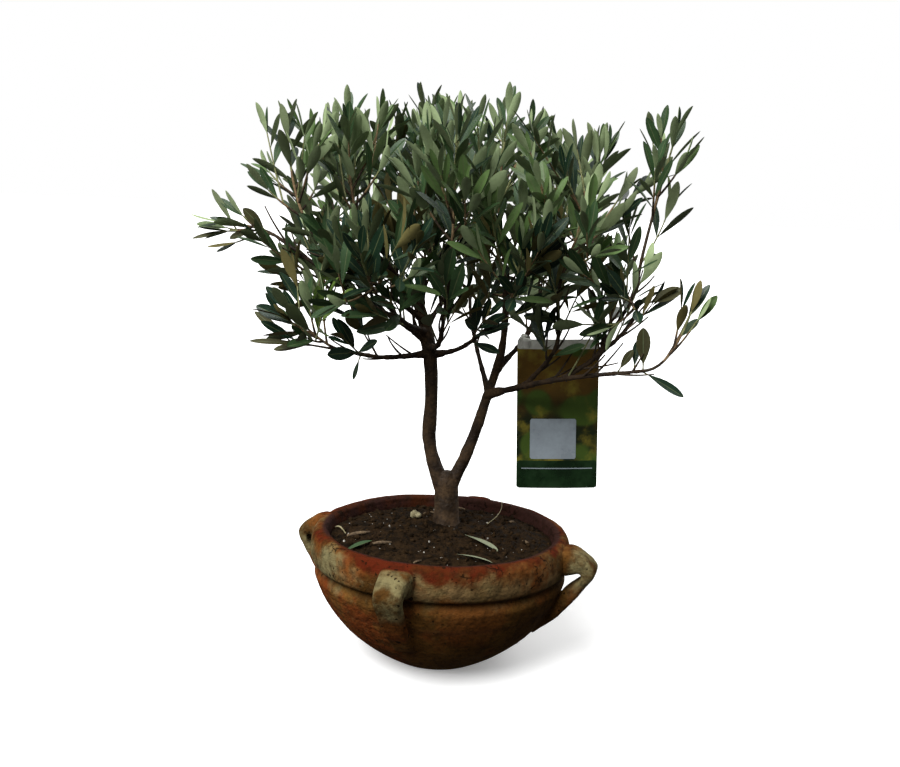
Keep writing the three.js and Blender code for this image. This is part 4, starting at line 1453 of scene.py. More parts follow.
@dataclass
class Tree:
    """The trunk, its two stems and the boughs, drawn by the same numbers as the CAD limbs.

    Each row of stems has a name, the points that it passes and its radii. Each row of boughs has a name, the
    limb that carries it and the share of that limb where it starts, its bend, its tip and its first radius.
    """

    foot: Point = (4.0, 24.0, 96.0)
    fork: Point = (2.0, 24.0, 148.0)
    trunk_radius: float = 9.6
    flare: float = 0.36
    flare_share: float = 0.24
    root_lobes: int = 5
    root_depth: float = 0.11
    stems: Rows = (
        ("left_stem", ((-1.5, 24, 134), (-13, 24, 170), (-13.5, 22, 212), (-16.5, 20, 250), (-29, 20, 298)),
         (6.6, 5.4, 5.4, 5.6, 3.2)),
        ("right_stem", ((5.5, 24, 134), (22, 22, 176), (33.5, 20, 217), (43, 20, 255), (44, 18, 298)),
         (5.8, 4.4, 3.9, 3, 2.3)),
    )
    boughs: Rows = (
        ("low_left_bough", "left_stem", 0.69, (-52, -8, 247), (-82, -30, 254), 2.6),
        ("left_bough", "left_stem", 0.75, (-50, 6, 279), (-88, 2, 293), 2.5),
        ("outer_left_bough", "left_bough", 0.7, (-102, -8, 314), (-140, 2, 338), 2),
        ("upper_left_bough", "left_stem", 0.86, (-58, -22, 305), (-97, -42, 335), 2.5),
        ("back_left_bough", "left_stem", 0.89, (-44, 50, 303), (-68, 78, 322), 2.4),
        ("top_left_bough", "left_stem", 0.97, (-44, 8, 311), (-62, -5, 330), 2.3),
        ("top_bough", "left_stem", 0.99, (-24, 28, 314), (-18, 38, 332), 2.5),
        ("front_bough", "left_stem", 0.72, (-8, -25, 263), (-3, -60, 308), 2.2),
        ("front_left_bough", "left_stem", 0.8, (-34, -20, 276), (-50, -54, 294), 2.2),
        ("inner_bough", "left_stem", 0.9, (-22, -2, 300), (-21, -14, 310), 2.2),
        ("back_bough", "left_stem", 0.82, (-6, 46, 293), (-4, 90, 322), 2.4),
        ("middle_bough", "left_stem", 0.68, (8, 4, 255), (35, -30, 282), 2.3),
        ("low_right_bough", "right_stem", 0.51, (88, -29, 239), (150, -40, 250), 3),
        ("right_front_bough", "low_right_bough", 0.3, (82, -30, 264), (80, -44, 302), 2),
        ("right_bough", "low_right_bough", 0.56, (118, -25, 264), (112, -8, 320), 2),
        ("right_side_bough", "right_bough", 0.3, (130, -31, 274), (141, -27, 288), 2),
        ("outer_right_bough", "right_bough", 0.42, (143, 2, 302), (151, 9, 340), 2),
        ("back_right_bough", "right_stem", 0.64, (62, 34, 262), (86, 64, 316), 2.5),
        ("low_back_bough", "right_stem", 0.52, (22, 40, 254), (16, 74, 282), 2.2),
        ("top_right_bough", "right_stem", 0.99, (44, 12, 314), (39, 6, 332), 2.1),
    )
    tip_radius: float = 1.7
    trunk_sides: int = 28
    bough_sides: int = 14
    voxel: float = 0.62
    smoothing: int = 5
    ridges: tuple[Point, float] = ((0.21, 0.21, 0.07), 2.0)
    bark_waves: tuple[Wave, ...] = (((0.06, 0.06, 0.045), 5.0, 0.75),)
    bark_grain: Wave = (0.5, 1.0, 0.16)
    burls: Flat = (0.055, 4.0)
    bough_waves: tuple[Wave, ...] = ((0.09, 3.0, 0.16), (0.35, 7.0, 0.1))
    limbs: dict[str, Limb] = field(default_factory=dict)

    def grow(self) -> None:
        """Draws every limb's curve, from the trunk outwards."""
        self.limbs["trunk"] = Limb(Route(np.linspace(self.foot, self.fork, Route.SAMPLES)), self.trunk_radii)
        for name, stops, radii in self.stems:
            self.limbs[name] = Limb(Route.through(stops), even(radii))
        for name, parent, share, bend, tip, radius in self.boughs:
            start = self.limbs[parent].route.at(share)
            self.limbs[name] = Limb(Route.through([start, bend, tip]), even([radius, self.tip_radius]))

    def trunk_radii(self, shares: Array) -> Array:
        """The trunk's radius at shares of its length, with its root flare and rounded crown."""
        crown = np.maximum(shares - 0.75, 0) / 0.25
        return (self.trunk_radius * (1 + self.flare * np.exp(-shares / self.flare_share))
                * np.sqrt(1 - 0.6 * crown**2))

    def build(self) -> None:
        """Builds the bark in place of the CAD limbs."""
        self.grow()
        self.build_trunk()
        self.build_boughs()

    def build_trunk(self) -> None:
        """Builds the trunk and stems as one skin with the bark's relief."""
        body = Shape()
        nodes = ["trunk", *(name for name, *_ in self.stems)]
        for name in nodes:
            limb = self.limbs[name]
            steps = round(limb.route.length / 2)
            rows = tube_rings(limb.route, limb.radii, steps, self.trunk_sides)
            if name == "trunk":
                lobes = self.root_depth * np.cos(self.root_lobes * around(self.trunk_sides) + 0.6)[None, :, None]
                low = np.exp(-np.linspace(0, 1, steps + 1) / self.flare_share)[:, None, None]
                middle = rows.mean(axis=1, keepdims=True)
                rows = middle + (rows - middle) * (1 + lobes * low)
            body.rings(rows)
        for name, parent, *_ in self.boughs:
            if parent in nodes:
                body.rings(self.root_rings(self.limbs[name]))
        skin = body.fused(self.voxel, self.smoothing)
        points = skin.points()
        ridges = 1 - np.abs(ripple(points, *self.ridges)) * 2
        rise = waves(points, *self.bark_waves) + ridges * 0.22 + waves(points, self.bark_grain)
        skin.swell(rise + np.maximum(lumps(points, *self.burls) - 0.45, 0) * 1.1)
        show("trunk_bark", skin, [BARK], nodes)

    def root_rings(self, limb: Limb) -> Array:
        """The first few millimetres of a bough, widened to run into its parent.

        Args:
            limb: The bough.

        Returns:
            Rings by corners by x, y, z.
        """
        reach = min(16.0 / limb.route.length, 0.6)
        part = Route(limb.route.at(np.linspace(0, reach, Route.BENT_SAMPLES)))
        first = float(limb.radii(np.array([0.0]))[0])
        return tube_rings(part, lambda shares: first * (1.0 + 0.75 * np.exp(-shares * 2.2)) * (1 - 0.1 * shares),
                          10, self.bough_sides)

    def build_boughs(self) -> None:
        """Builds the boughs with small nodes and relief."""
        wood = Shape()
        for order, (name, parent, *_) in enumerate(self.boughs):
            limb = self.limbs[name]
            steps = round(limb.route.length / 1.6)
            rows = tube_rings(limb.route, limb.radii, steps, self.bough_sides)
            middle = rows.mean(axis=1, keepdims=True)
            far = np.linspace(0, limb.route.length, steps + 1)
            joints = 0.2 * np.exp(-((((far + 5 * order) % 17) - 8.5) / 1.3) ** 2)
            flare = 0.0 if parent.endswith("stem") else 0.75
            slim = 0.96 - 0.18 * far / limb.route.length
            scale = slim + joints + flare * np.exp(-far / 3.5)
            rows = middle + (rows - middle) * scale[:, None, None]
            push = waves(rows.reshape(-1, 3), *self.bough_waves).reshape(rows.shape[:2])
            wood.rings(rows + (rows - middle) * push[..., None])
        show("bough_bark", wood, [BOUGH_BARK], [name for name, *_ in self.boughs])


@dataclass
class Tag:
    """The card tag with a plain blurred print, a blank label and a band, held on a bough by a strip.

    The label's numbers are its edges from the card's left and lower edge: left, right, low and high.
    """

    tree: Tree
    centre: Point = (91.5, 20.0, 201.5)
    width: float = 67.0
    height: float = 125.0
    thickness: float = 0.8
    tilt: float = math.radians(-2.6)
    hollow: float = 1.6
    corner: float = 2.0
    band: float = 23.5
    band_film: float = 0.12
    line: tuple[float, float, float] = (4.0, 16.5, 17.3)
    line_rise: float = 0.1
    label: tuple[float, float, float, float] = (11.0, 49.0, 25.0, 59.0)
    label_film: float = 0.15
    hem: float = 8.0
    hem_film: float = 0.05
    bough: str = "back_right_bough"
    share: float = 0.34
    strip_width: float = 7.0
    strip_thickness: float = 1.2
    strip_room: float = 0.35
    inset: float = 7.0

    def place(self, aside: Array, up: Array, lift: float) -> Array:
        """Points on the bowed card.

        Args:
            aside: Distances right of the card's middle.
            up: Distances above it.
            lift: The distance out of its front.

        Returns:
            Rows of x, y, z in the tree's frame.
        """
        away = self.hollow * ((aside / self.width * 2) ** 2 - 0.4) - lift
        c, s = math.cos(self.tilt), math.sin(self.tilt)
        x, z = aside * c + up * s, up * c - aside * s
        return np.stack([x, np.broadcast_to(away, x.shape), z], axis=-1) + self.centre

    def sheet(self, card: Shape, edges: tuple[float, float, float, float], lift: float, thick: float,
              corner: float, finish: Paper) -> None:
        """A thin rounded sheet on the card.

        Args:
            card: The mesh that it joins.
            edges: Its left, right, lower and upper edge, from the card's middle.
            lift: Where its front lies.
            thick: How thick it is.
            corner: The radius of its corners.
            finish: Its finish.
        """
        left, right, low, high = edges
        up = low + (high - low) * np.linspace(0, 1, 25)
        edge = np.minimum(up - low, high - up)
        cut = corner - np.sqrt(np.maximum(corner**2 - np.maximum(corner - edge, 0) ** 2, 0))
        aside = (left + cut)[:, None] + (right - left - 2 * cut)[:, None] * np.linspace(0, 1, 17)
        level = np.broadcast_to(up[:, None], aside.shape)
        card.slab(self.place(aside, level, lift), self.place(aside, level, lift - thick), finish.value)

    def build(self) -> None:
        """Builds the tag in place of its CAD node."""
        card = Shape()
        half, top, front = self.width / 2, self.height / 2, self.thickness / 2
        self.sheet(card, (-half, half, -top, top), front, self.thickness, self.corner, Paper.PRINT)
        margin, foot, head = self.line
        film = self.band_film
        for side, lift in ((1, front + film), (-1, -front)):
            self.sheet(card, (-half, half, -top, -top + self.band), lift, film, self.corner, Paper.BAND)
            self.sheet(card, (-half + margin, half - margin, -top + foot, -top + head),
                       lift + side * self.line_rise, film, 0.3, Paper.LABEL)
        left, right, low, high = self.label
        self.sheet(card, (-half + left, -half + right, -top + low, -top + high), front + self.label_film,
                   self.label_film, 1.0, Paper.LABEL)
        self.sheet(card, (-half, half, top - self.hem, top), front + self.hem_film, self.hem_film, self.corner,
                   Paper.HANGER)
        self.strip(card)
        show("tag_card", card, [PAPERS[kind] for kind in Paper], ["tag"])

    def strip(self, card: Shape) -> None:
        """The strip from the card's corner, and its loop round the bough.

        Args:
            card: The mesh that it joins.
        """
        limb = self.tree.limbs[self.bough]
        hold, heading = limb.route.at(self.share), limb.route.heading(self.share)
        inner = float(limb.radii(np.array([self.share]))[0]) + self.strip_room
        half, thick = self.strip_width / 2, self.strip_thickness
        rows = []
        for turn in np.linspace(0, FULL_TURN, 24, endpoint=False):
            out = limb.route.turned(self.share, turn)
            rows.append([hold + out * radius + heading * along for radius, along in (
                (inner, -half), (inner + thick, -half), (inner + thick, half), (inner, half))])
        card.rings(np.array(rows + rows[:1]), Paper.HANGER.value, caps=False)
        anchor = self.place(np.array(self.inset - self.width / 2), np.array(self.height / 2 - self.inset), 0.4)
        towards = anchor - hold
        towards = unit(towards - heading * (towards @ heading))
        start = hold + towards * (inner + thick / 2)
        route = Route.through([start, anchor + np.array([0, 0, self.inset]), anchor])
        ribbon = []
        for share in np.linspace(0, 1, 25):
            along, middle = route.heading(share), route.at(share)
            flat = unit(np.cross(along, (0, 1, 0)))
            face = np.cross(flat, along)
            ribbon.append([middle + flat * a * half + face * b * thick / 2 for a, b in (
                (-1, -1), (1, -1), (1, 1), (-1, 1))])
        card.rings(np.array(ribbon), Paper.HANGER.value)


@dataclass
class Mass:
    """One mass of foliage: an egg-shaped space on a bough's tip, with a stem of its own."""

    bough: str
    centre: Array
    reach: Array
    shoots: int
    fan: float
    order: int
    fullness: float
    stem: Route | None = None
    axis: Array | None = None

    def depth(self, points: Array) -> Array:
        """How far points lie from the centre, as a share of the half widths."""
        return np.linalg.norm((points - self.centre) / self.reach, axis=-1)


@dataclass(frozen=True)
class Habit:
    """How side twigs grow: their spacing, the bare share of their parent, their lengths and their lift."""

    spacing: float
    bare: float
    lengths: Flat
    lift: float


@dataclass
class Crown:
    """Twigs and leaves, grown on from the boughs by the source's rule and carried to finer twigs.

    Each row of the table is a mass: its name, its bough, its middle, its half widths, how many shoots it
    has, how far they fan out in degrees, and how full it is. Each row of singles is a leaf that stands alone:
    what carries it and at which share, its direction, its length, its width for its length and its finishes.
    Each row of tints has a least height, and the finishes of a spray up to each level of chance.
    """

    tree: Tree
    table: Rows = (
        ("top", "top", (-24, 46, 396), (60, 54, 72), 6, 105, 0.9),
        ("top_left", "top_left", (-74, -10, 384), (56, 54, 72), 6, 105, 0.85),
        ("top_right", "top_right", (38, 2, 390), (60, 54, 72), 6, 105, 0.85),
        ("front", "front", (-2, -80, 378), (58, 50, 74), 6, 105, 0.85),
        ("upper_left", "upper_left", (-114, -32, 380), (54, 54, 72), 6, 105, 0.8),
        ("right", "right", (102, 12, 376), (58, 54, 70), 6, 105, 0.85),
        ("back_left", "back_left", (-88, 100, 372), (62, 56, 74), 6, 110, 1.0),
        ("back", "back", (-4, 132, 378), (62, 54, 74), 6, 110, 1.0),
        ("back_right", "back_right", (88, 104, 370), (62, 56, 70), 6, 110, 1.0),
        ("outer_right", "outer_right", (160, 4, 388), (40, 40, 70), 4, 60, 0.45),
        ("left", "left", (-102, 20, 312), (56, 54, 52), 5, 105, 1.1),
        ("left_tip", "outer_left", (-158, 0, 342), (50, 36, 34), 4, 60, 0.12),
        ("low_left", "low_left", (-104, -42, 272), (54, 46, 40), 5, 100, 0.8),
        ("front_left", "front_left", (-58, -84, 316), (58, 50, 58), 5, 115, 1.1),
        ("inner", "inner", (-24, -24, 342), (48, 40, 46), 5, 110, 1.1),
        ("middle", "middle", (44, -60, 322), (56, 50, 56), 5, 110, 1.1),
        ("right_front", "right_front", (92, -62, 346), (54, 50, 58), 5, 110, 1.0),
        ("right_side", "right_side", (134, -38, 296), (46, 48, 42), 4, 95, 1.0),
        ("low_right", "low_right", (172, -44, 284), (48, 40, 38), 4, 60, 0.2),
        ("low_back", "low_back", (34, 114, 298), (58, 50, 50), 5, 105, 1.0),
    )
    groups: Rows = (
        ("left", ("top_left", "upper_left", "left", "left_tip", "low_left")),
        ("middle", ("top", "top_right", "front", "front_left", "inner", "middle")),
        ("right", ("right", "outer_right", "right_front", "right_side", "low_right")),
        ("back", ("back_left", "back", "back_right", "low_back")),
    )
    singles: Rows = (
        ("low_right_bough", 0.98, (0.86, 0.0, -0.46), 35.0, 0.22, Leaf.DEEP, Leaf.GREY),
        ("low_right_bough", 0.99, (-0.05, 0.1, 1.0), 29.0, 0.38, Leaf.SHADED, Leaf.DEEP),
        ("low_right_bough", 0.85, (0.45, -0.1, 0.8), 18.0, 0.36, Leaf.SHADED, Leaf.OLIVE),
        ("low_right_bough", 0.94, (0.06, 0.1, 0.95), 20.0, 0.3, Leaf.DEEP, Leaf.DEEP),
        ("right_side_twig", 1.0, (0.89, -0.1, 0.45), 27.0, 0.42, Leaf.SHADED, Leaf.DEEP),
        ("low_left_bough", 0.8, (-0.25, -0.1, -0.95), 17.0, 0.22, Leaf.DEEP, Leaf.GREY),
        ("low_left_twig", 0.7, (-1.0, -0.15, 0.05), 40.0, 0.13, Leaf.SHADED, Leaf.DEEP),
        ("low_left_twig", 0.62, (-0.95, 0.3, -0.17), 30.0, 0.22, Leaf.SHADED, Leaf.DEEP),
        ("low_left_twig", 0.95, (-0.8, 0.25, 0.57), 34.0, 0.19, Leaf.SHADED, Leaf.DEEP),
        ("low_left_twig", 0.8, (-0.85, -0.3, 0.5), 31.0, 0.24, Leaf.DEEP, Leaf.GREY),
        ("low_left_twig", 0.68, (-0.4, 0.3, 0.85), 20.0, 0.42, Leaf.SHADED, Leaf.DEEP),
        ("left_tip_twig", 0.95, (-0.55, 0.1, 0.83), 33.0, 0.15, Leaf.GREY, Leaf.DEEP),
        ("left_tip_twig", 1.0, (-1.0, -0.1, 0.12), 25.0, 0.27, Leaf.YOUNG, Leaf.SAGE),
        ("left_tip_twig", 0.64, (-0.97, 0.2, 0.24), 34.0, 0.16, Leaf.DEEP, Leaf.GREY),
        ("left_tip_twig", 0.93, (-0.97, 0.0, -0.22), 33.0, 0.13, Leaf.SHADED, Leaf.DEEP),
        ("left_tip_twig", 0.36, (-0.7, -0.2, 0.7), 23.0, 0.4, Leaf.SHADED, Leaf.DEEP),
        ("left_tip_twig", 0.6, (-0.95, 0.1, -0.32), 18.0, 0.38, Leaf.SHADED, Leaf.DEEP),
        ("middle_bough", 0.55, (0.5, -0.6, -0.1), 30.0, 0.27, Leaf.DEEP, Leaf.OLIVE),
        ("low_back_bough", 0.7, (0.4, 0.7, -0.3), 32.0, 0.26, Leaf.DEEP, Leaf.GREY),
        ("back_left_bough", 0.6, (-0.5, 0.6, -0.4), 31.0, 0.27, Leaf.DEEP, Leaf.GREY),
        ("right_front_bough", 0.4, (0.6, -0.5, 0.35), 30.0, 0.26, Leaf.GREEN, Leaf.OLIVE),
    )
    tip_twigs: Rows = (
        ("low_left_twig", "low_left_bough", ((-104, -31, 257), (-125, -30, 259.5))),
        ("left_tip_twig", "outer_left_bough", ((-158, 2, 342), (-174, 2, 342))),
        ("right_side_twig", "right_side_bough", ((144, -28, 293), (148, -29, 299))),
    )
    # Painted light and shade: high sprays get lighter finishes, and sprays low down or inside the crown get
    # darker ones.
    tints: Rows = (
        (0.62, ((0.3, Leaf.DEEP, Leaf.GREY), (0.65, Leaf.FRESH, Leaf.SAGE),
                (1.0, Leaf.GREEN, Leaf.SAGE))),
        (0.35, ((0.4, Leaf.GREEN, Leaf.GREY), (0.72, Leaf.GREEN, Leaf.SAGE),
                (1.0, Leaf.FRESH, Leaf.SAGE))),
        (-math.inf, ((0.15, Leaf.GREEN, Leaf.OLIVE), (0.58, Leaf.DEEP, Leaf.OLIVE),
                     (0.8, Leaf.DEEP, Leaf.GREY), (0.82, Leaf.GREEN, Leaf.GREY),
                     (0.92, Leaf.GREEN, Leaf.SAGE), (1.0, Leaf.FRESH, Leaf.SAGE))),
    )
    young_share: float = 0.03
    single_face: Point = (-0.1, -0.8, 0.6)
    single_form: Flat = (0.25, -0.04)
    seat_gap: float = 0.3
    seat_overlap: float = 8.0
    overhang: float = 24.0
    sag: float = 0.1
    stem_bend: float = 1 / 3
    stem_radius: float = 1.2
    forks: Flat = (0.2, 0.55)
    fits: tuple[float, ...] = (1.0, 0.75, 0.5)
    leaf_fits: tuple[float, ...] = (1.0, 0.8, 0.6)
    margin: float = 0.03
    clearance: float = 1.6
    limb_step: float = 3.0
    shoot_step: float = 5.8
    tag_centre: Point = Tag.centre
    tag_room: Point = (43.5, 12.4, 74.5)
    twig_lean: Flat = (30.0, 52.0)
    internode: Flat = (9.0, 13.5)
    leaf_length: Flat = (29.0, 39.0)
    leaf_width: Flat = (0.19, 0.265)
    leaf_fold: Flat = (0.08, 0.45)
    slack: float = 0.05
    # The crown's middle and half widths, from which the painted shade inside the crown is measured.
    middle: Point = (0.0, 25.0, 325.0)
    spread: Point = (185.0, 160.0, 140.0)
    first_seed: int = 100
    masses: dict[str, Mass] = field(default_factory=dict)
    blades: Blades = field(default_factory=Blades)
    wood: Shape = field(default_factory=Shape)
    random: np.random.Generator = field(default_factory=np.random.default_rng)

    def grow(self) -> None:
        """Sets out every mass and its stem."""
        for order, (name, bough, centre, reach, shoots, fan, fullness) in enumerate(self.table):
            mass = Mass(f"{bough}_bough", np.array(centre, dtype=float), np.array(reach, dtype=float), shoots,
                        math.radians(fan), order, fullness)
            limb = self.tree.limbs[mass.bough].route
            line = limb.heading(1)
            start = limb.at(1) + line * self.seat_gap
            mass.axis = unit(mass.centre - start)
            end = self.tip_towards(mass, mass.axis, 1.0)
            bend = start + line * np.linalg.norm(end - start) * self.stem_bend
            mass.stem = Route.bent(start, bend, end)
            self.masses[name] = mass

    def tip_towards(self, mass: Mass, heading: Array, share: float) -> Array:
        """Where a shoot ends, at a share of the way, so that the leaf on its tip ends at the mass's edge."""
        edge = 1 / np.linalg.norm(heading / mass.reach)
        return mass.centre + heading * share * max(edge - self.overhang, edge / 4)

    def shoot(self, mass: Mass, number: int, share: float, turn: float) -> Route:
        """A side shoot that leaves the stem by the golden angle, opens by its rank and bends upwards.

        Args:
            mass: The mass of foliage.
            number: The shoot's number.
            share: How much of its way it goes.
            turn: Its turn about the stem.

        Returns:
            Its curve.
        """
        rank = number / mass.shoots
        fork = mass.stem.at(self.forks[1] + (self.forks[0] - self.forks[1]) * rank)
        aside = unit(np.cross((0, 1, 0), mass.axis))
        upright = np.cross(mass.axis, aside)
        cosine = 1 - rank * (1 - math.cos(mass.fan))
        sine = math.sqrt(max(1 - cosine * cosine, 0))
        heading = mass.axis * cosine + (aside * math.cos(turn) + upright * math.sin(turn)) * sine
        tip = self.tip_towards(mass, heading, share)
        bend = (fork + tip) / 2 - np.array([0, 0, self.sag * np.linalg.norm(tip - fork)])
        return Route.bent(fork, bend, tip)

    def obstacles(self, mass: Mass) -> tuple[Array, Array]:
        """Points along limbs that shoots keep clear of.

        Args:
            mass: The mass whose own stem doesn't count.

        Returns:
            Points and radii.
        """
        stems = [Limb(other.stem, even([self.stem_radius])) for other in self.masses.values()
                 if other is not mass]
        points, radii = [], []
        for limb in [*self.tree.limbs.values(), *stems]:
            shares = np.linspace(0, 1, math.ceil(limb.route.length / self.limb_step) + 1)
            points.append(limb.route.at(shares))
            radii.append(limb.radii(shares))
        return np.vstack(points), np.concatenate(radii)

    def off_tag(self, points: Array) -> Array:
        """Whether points keep clear of the card tag."""
        return (np.abs(points - self.tag_centre) > self.tag_room).any(axis=-1)

    def in_space(self, mass: Mass, points: Array, limbs: tuple[Array, Array]) -> bool:
        """Whether points stay in a mass's own space, clear of limbs and of the tag.

        Args:
            mass: The mass of foliage.
            points: The points.
            limbs: The obstacles.

        Returns:
            True if all of them do.
        """
        depth = mass.depth(points)
        mine = all((other.depth(points) > depth + self.margin).all()
                   for other in self.masses.values() if other is not mass)
        gaps = np.linalg.norm(points[:, None] - limbs[0][None], axis=-1) - limbs[1]
        clear = (gaps > self.clearance).all()
        return bool((depth < 1 + self.margin).all() and mine and clear and self.off_tag(points).all())

    def main_shoots(self, mass: Mass) -> list[Route]:
        """The stem and side shoots of a mass, as in the part's source.

        Args:
            mass: The mass of foliage.

        Returns:
            Their curves.
        """
        limbs = self.obstacles(mass)
        phase = Seeded(mass.order + 1).draw() * 2 * math.pi
        routes = [mass.stem]
        for number in range(1, mass.shoots):
            for share in self.fits:
                route = self.shoot(mass, number, share, phase + number * GOLDEN_ANGLE)
                count = math.ceil(route.length / self.shoot_step)
                if self.in_space(mass, route.at(np.arange(2, count + 1) / count), limbs):
                    routes.append(route)
                    break
        return routes

    def within(self, point: Array, slack: float = 0.0) -> bool:
        """Whether a point lies in the reach of some mass, or a share past it, and clear of the tag."""
        depth = min(mass.depth(point) for mass in self.masses.values())
        return bool(depth < 1 + self.margin + slack and self.off_tag(point))

    def side_twigs(self, parent: Route, habit: Habit) -> list[Route]:
        """Finer twigs on a limb or shoot, by the same golden angle, that bend upwards within the reach.

        Args:
            parent: The limb or shoot.
            habit: How the twigs grow.

        Returns:
            Their curves.
        """
        twigs = []
        count = round(parent.length * (1 - habit.bare) / habit.spacing)
        phase = self.random.uniform(0, FULL_TURN)
        for number in range(count):
            share = habit.bare + (0.95 - habit.bare) * (number + self.random.uniform(0.2, 0.8)) / count
            level, _ = parent.sides(share)
            aside = parent.turned(share, phase + number * GOLDEN_ANGLE)
            lean = math.radians(self.random.uniform(*self.twig_lean))
            heading = parent.heading(share) * math.cos(lean) + aside * math.sin(lean)
            heading = unit(heading + np.array([0, 0, habit.lift]))
            start = parent.at(share)
            length = self.random.uniform(*habit.lengths)
            for fit in self.fits:
                tip = start + heading * length * fit + np.array([0, 0, 0.12 * length * fit])
                if self.within(tip + unit(tip - start) * self.overhang):
                    sway = level * math.sin(number * 2.4) * 0.14
                    twigs.append(Route.bent(start, start + (heading * 0.5 + sway) * length * fit, tip))
                    break
        return twigs

    def spray(self, twig: Route, bare: float, fullness: float) -> None:
        """Opposite pairs of leaves on a twig, each crossed to the last and closer to the twig at its tip.

        Args:
            twig: The twig.
            bare: The share of it that has no leaves.
            fullness: How close its pairs stand, from 0 to 1.
        """
        finishes = self.spray_finishes(twig.at(1))
        first = self.random.uniform(0, math.pi)
        back, number = 1.5, 0
        while back < twig.length * (1 - bare):
            share = 1 - back / twig.length
            along = twig.heading(share)
            side = twig.turned(share, first + number * math.pi / 2 + self.random.normal(0, 0.15))
            for hand in (1, -1):
                if number == 0 or self.random.uniform() < 0.55 + 0.38 * fullness:
                    lean = math.radians(min(13 + 8 * number, 44) + self.random.uniform(-6, 9))
                    heading = unit(along * math.cos(lean) + side * hand * math.sin(lean))
                    self.leaf(twig.at(share), along, heading, number, finishes)
            gap = self.random.uniform(*self.internode) * (0.75 if number == 0 else 1.0)
            back += gap / (0.4 + 0.6 * fullness)
            number += 1

    def leaf(self, root: Array, along: Array, heading: Array, number: int,
             finishes: tuple[Leaf, Leaf]) -> None:
        """One leaf, shortened or left out where it would pass the reach.

        Args:
            root: Where it leaves its twig.
            along: The twig's own direction.
            heading: The leaf's direction.
            number: The number of its pair, from the tip.
            finishes: Those of its upper side and underside.
        """
        length = self.random.uniform(*self.leaf_length) * min(0.72 + 0.14 * number, 1.0)
        for fit in self.leaf_fits:
            if self.within(root + heading * length * fit, self.slack):
                break
        else:
            return
        face = along - heading * (along @ heading)
        face = unit(face) if np.linalg.norm(face) > 1e-3 else unit(np.cross(heading, (0, 1, 0)))
        spin = self.random.normal(0, 0.35)
        face = face * math.cos(spin) + np.cross(heading, face) * math.sin(spin)
        curl = self.random.normal(0.0, 0.035) - 0.015 * number
        low = np.clip((370 - root[2]) / 110, 0, 1)
        slim = self.random.uniform(*self.leaf_width) + 0.055 * low
        fold = self.random.uniform(*self.leaf_fold)
        self.blades.add(root, heading, face, length * fit, slim, fold, curl, finishes)

    def spray_finishes(self, tip: Array) -> tuple[Leaf, Leaf]:
        """The colours of one spray, with painted light and shade: lighter high up and outside, darker low down
        and inside.

        Args:
            tip: Where the spray ends.

        Returns:
            The finishes of the upper sides and undersides.
        """
        # Painted shade inside the crown: inside lowers high, which chooses darker finishes.
        inside = max(0.0, 0.85 - float(np.linalg.norm((tip - self.middle) / self.spread)))
        high = (tip[2] - 235) / 210 + self.random.normal(0, 0.22) - 0.9 * inside
        if self.random.uniform() < self.young_share:
            return Leaf.YOUNG, Leaf.SAGE
        rows = next(rows for least, rows in self.tints if high > least)
        chance = self.random.uniform()
        return next((top, under) for limit, top, under in rows if chance < limit)

    def build(self) -> None:
        """Builds twigs and leaves, group by group, in place of the CAD masses."""
        self.grow()
        for group, names in self.groups:
            self.blades, self.wood = Blades(), Shape()
            nodes = [f"{name}_foliage" for name in names]
            for name in names:
                self.fill_mass(self.masses[name])
            show(f"{group}_twigs", self.wood, [TWIGS[kind] for kind in Wood], nodes)
            show(f"{group}_leaves", self.blades.shape(), [LEAVES[kind] for kind in Leaf], nodes)

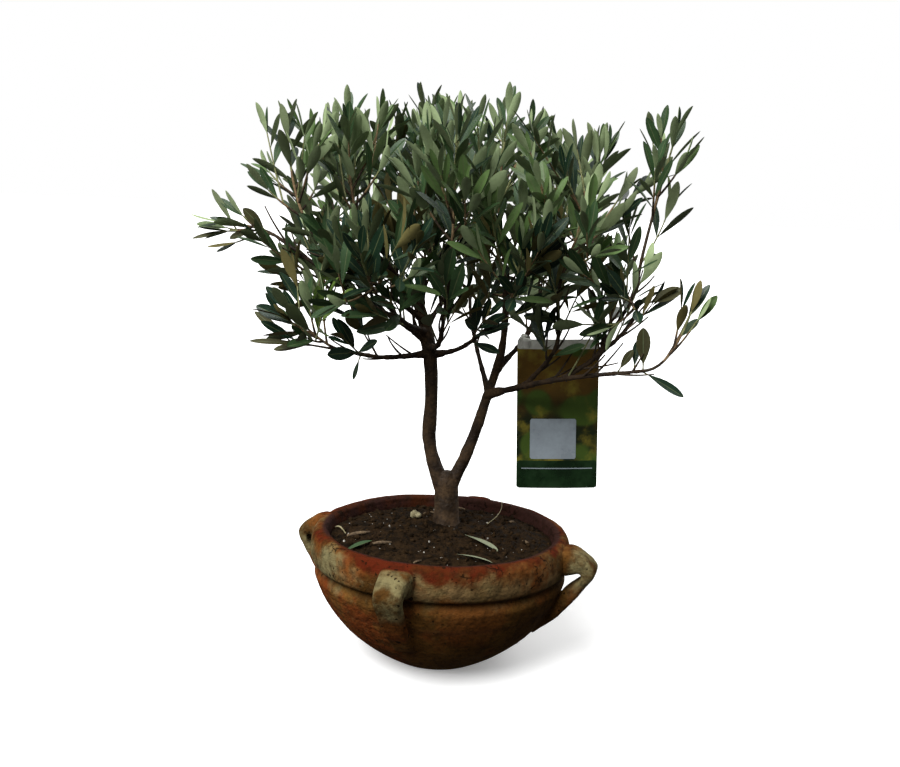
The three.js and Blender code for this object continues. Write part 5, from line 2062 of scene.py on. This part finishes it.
    def fill_mass(self, mass: Mass) -> None:
        """Grows the twigs and leaves of one mass.

        Args:
            mass: The mass of foliage.
        """
        self.random = np.random.default_rng(self.first_seed + mass.order)
        bough = self.tree.limbs[mass.bough].route
        seat = 1 - self.seat_overlap / bough.length
        high = Habit(24.0 / mass.fullness, 0.25, (38.0, 66.0), 0.55)
        low = Habit(15.0 / mass.fullness, 0.3, (26.0, 60.0), 0.45)
        bare = Habit(13.0, 0.12, (14.0, 42.0), 0.3)
        for route in self.main_shoots(mass):
            drawn, radii = route, (1.05, 0.6)
            if route is mass.stem:
                seated = np.vstack([bough.at(np.linspace(seat, 1, 9)), route.points[1:]])
                drawn, radii = Route(seated), (1.4, 0.65)
            steps = max(6, round(drawn.length / 5))
            along = np.linspace(0, 1, steps)
            young = np.select([along > 0.7, along > 0.35], [Wood.GREEN.value, Wood.RED.value], Wood.OLD.value)
            self.wood.tube(drawn, radii, steps, 7, np.repeat(young, 7))
            self.spray(route, 0.3, mass.fullness)
            self.add_twigs(mass, self.side_twigs(route, high))
        self.add_twigs(mass, self.side_twigs(bough, low))
        for twig in self.side_twigs(bough, bare):
            self.wood.tube(twig, (1.05, 0.8, 0.55), max(5, round(twig.length / 5)), 6, Wood.OLD.value)
        carriers = {mass.bough: bough}
        for name, limb, stops in self.tip_twigs:
            if limb == mass.bough:
                carriers[name] = Route.through([bough.at(seat), bough.at(1.0), *stops])
                self.wood.tube(carriers[name], (1.3, 0.9, 0.6), 16, 7, Wood.OLD.value)
        self.add_singles(carriers)

    def add_singles(self, carriers: dict[str, Route]) -> None:
        """Gives limbs and twigs the leaves that stand alone, each on a short stalk.

        Args:
            carriers: The limbs and twigs, by name.
        """
        front = np.array(self.single_face)
        for limb, share, heading, length, slim, top, under in self.singles:
            if limb in carriers:
                start, along = carriers[limb].at(share), unit(np.array(heading))
                face = unit(front - along * (front @ along))
                stalk = Route.bent(start, start + along * 2, start + along * 6 + face)
                self.wood.tube(stalk, (0.75, 0.5), 5, 5, Wood.GREEN.value)
                self.blades.add(start + along * 4 + face * 0.5, along, face, length, slim, *self.single_form,
                           (top, under))

    def add_twigs(self, mass: Mass, twigs: list[Route]) -> None:
        """Gives twigs their wood and leaves.

        Args:
            mass: The mass of foliage.
            twigs: Their curves.
        """
        for twig in twigs:
            kind = Wood.GREEN if self.random.uniform() < 0.6 else Wood.RED
            self.wood.tube(twig, (0.8, 0.5), max(4, round(twig.length / 6)), 5, kind.value)
            self.spray(twig, 0.2, mass.fullness)


def main() -> None:
    """Builds every piece in order."""
    logging.basicConfig(level=logging.INFO, format="%(name)s: %(message)s")
    Studio().build()
    bowl = Bowl()
    bowl.build()
    Handles(bowl).build()
    Soil().build()
    tree = Tree()
    tree.build()
    Crown(tree).build()
    Tag(tree).build()
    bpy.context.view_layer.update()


if __name__ == "__main__":
    main()
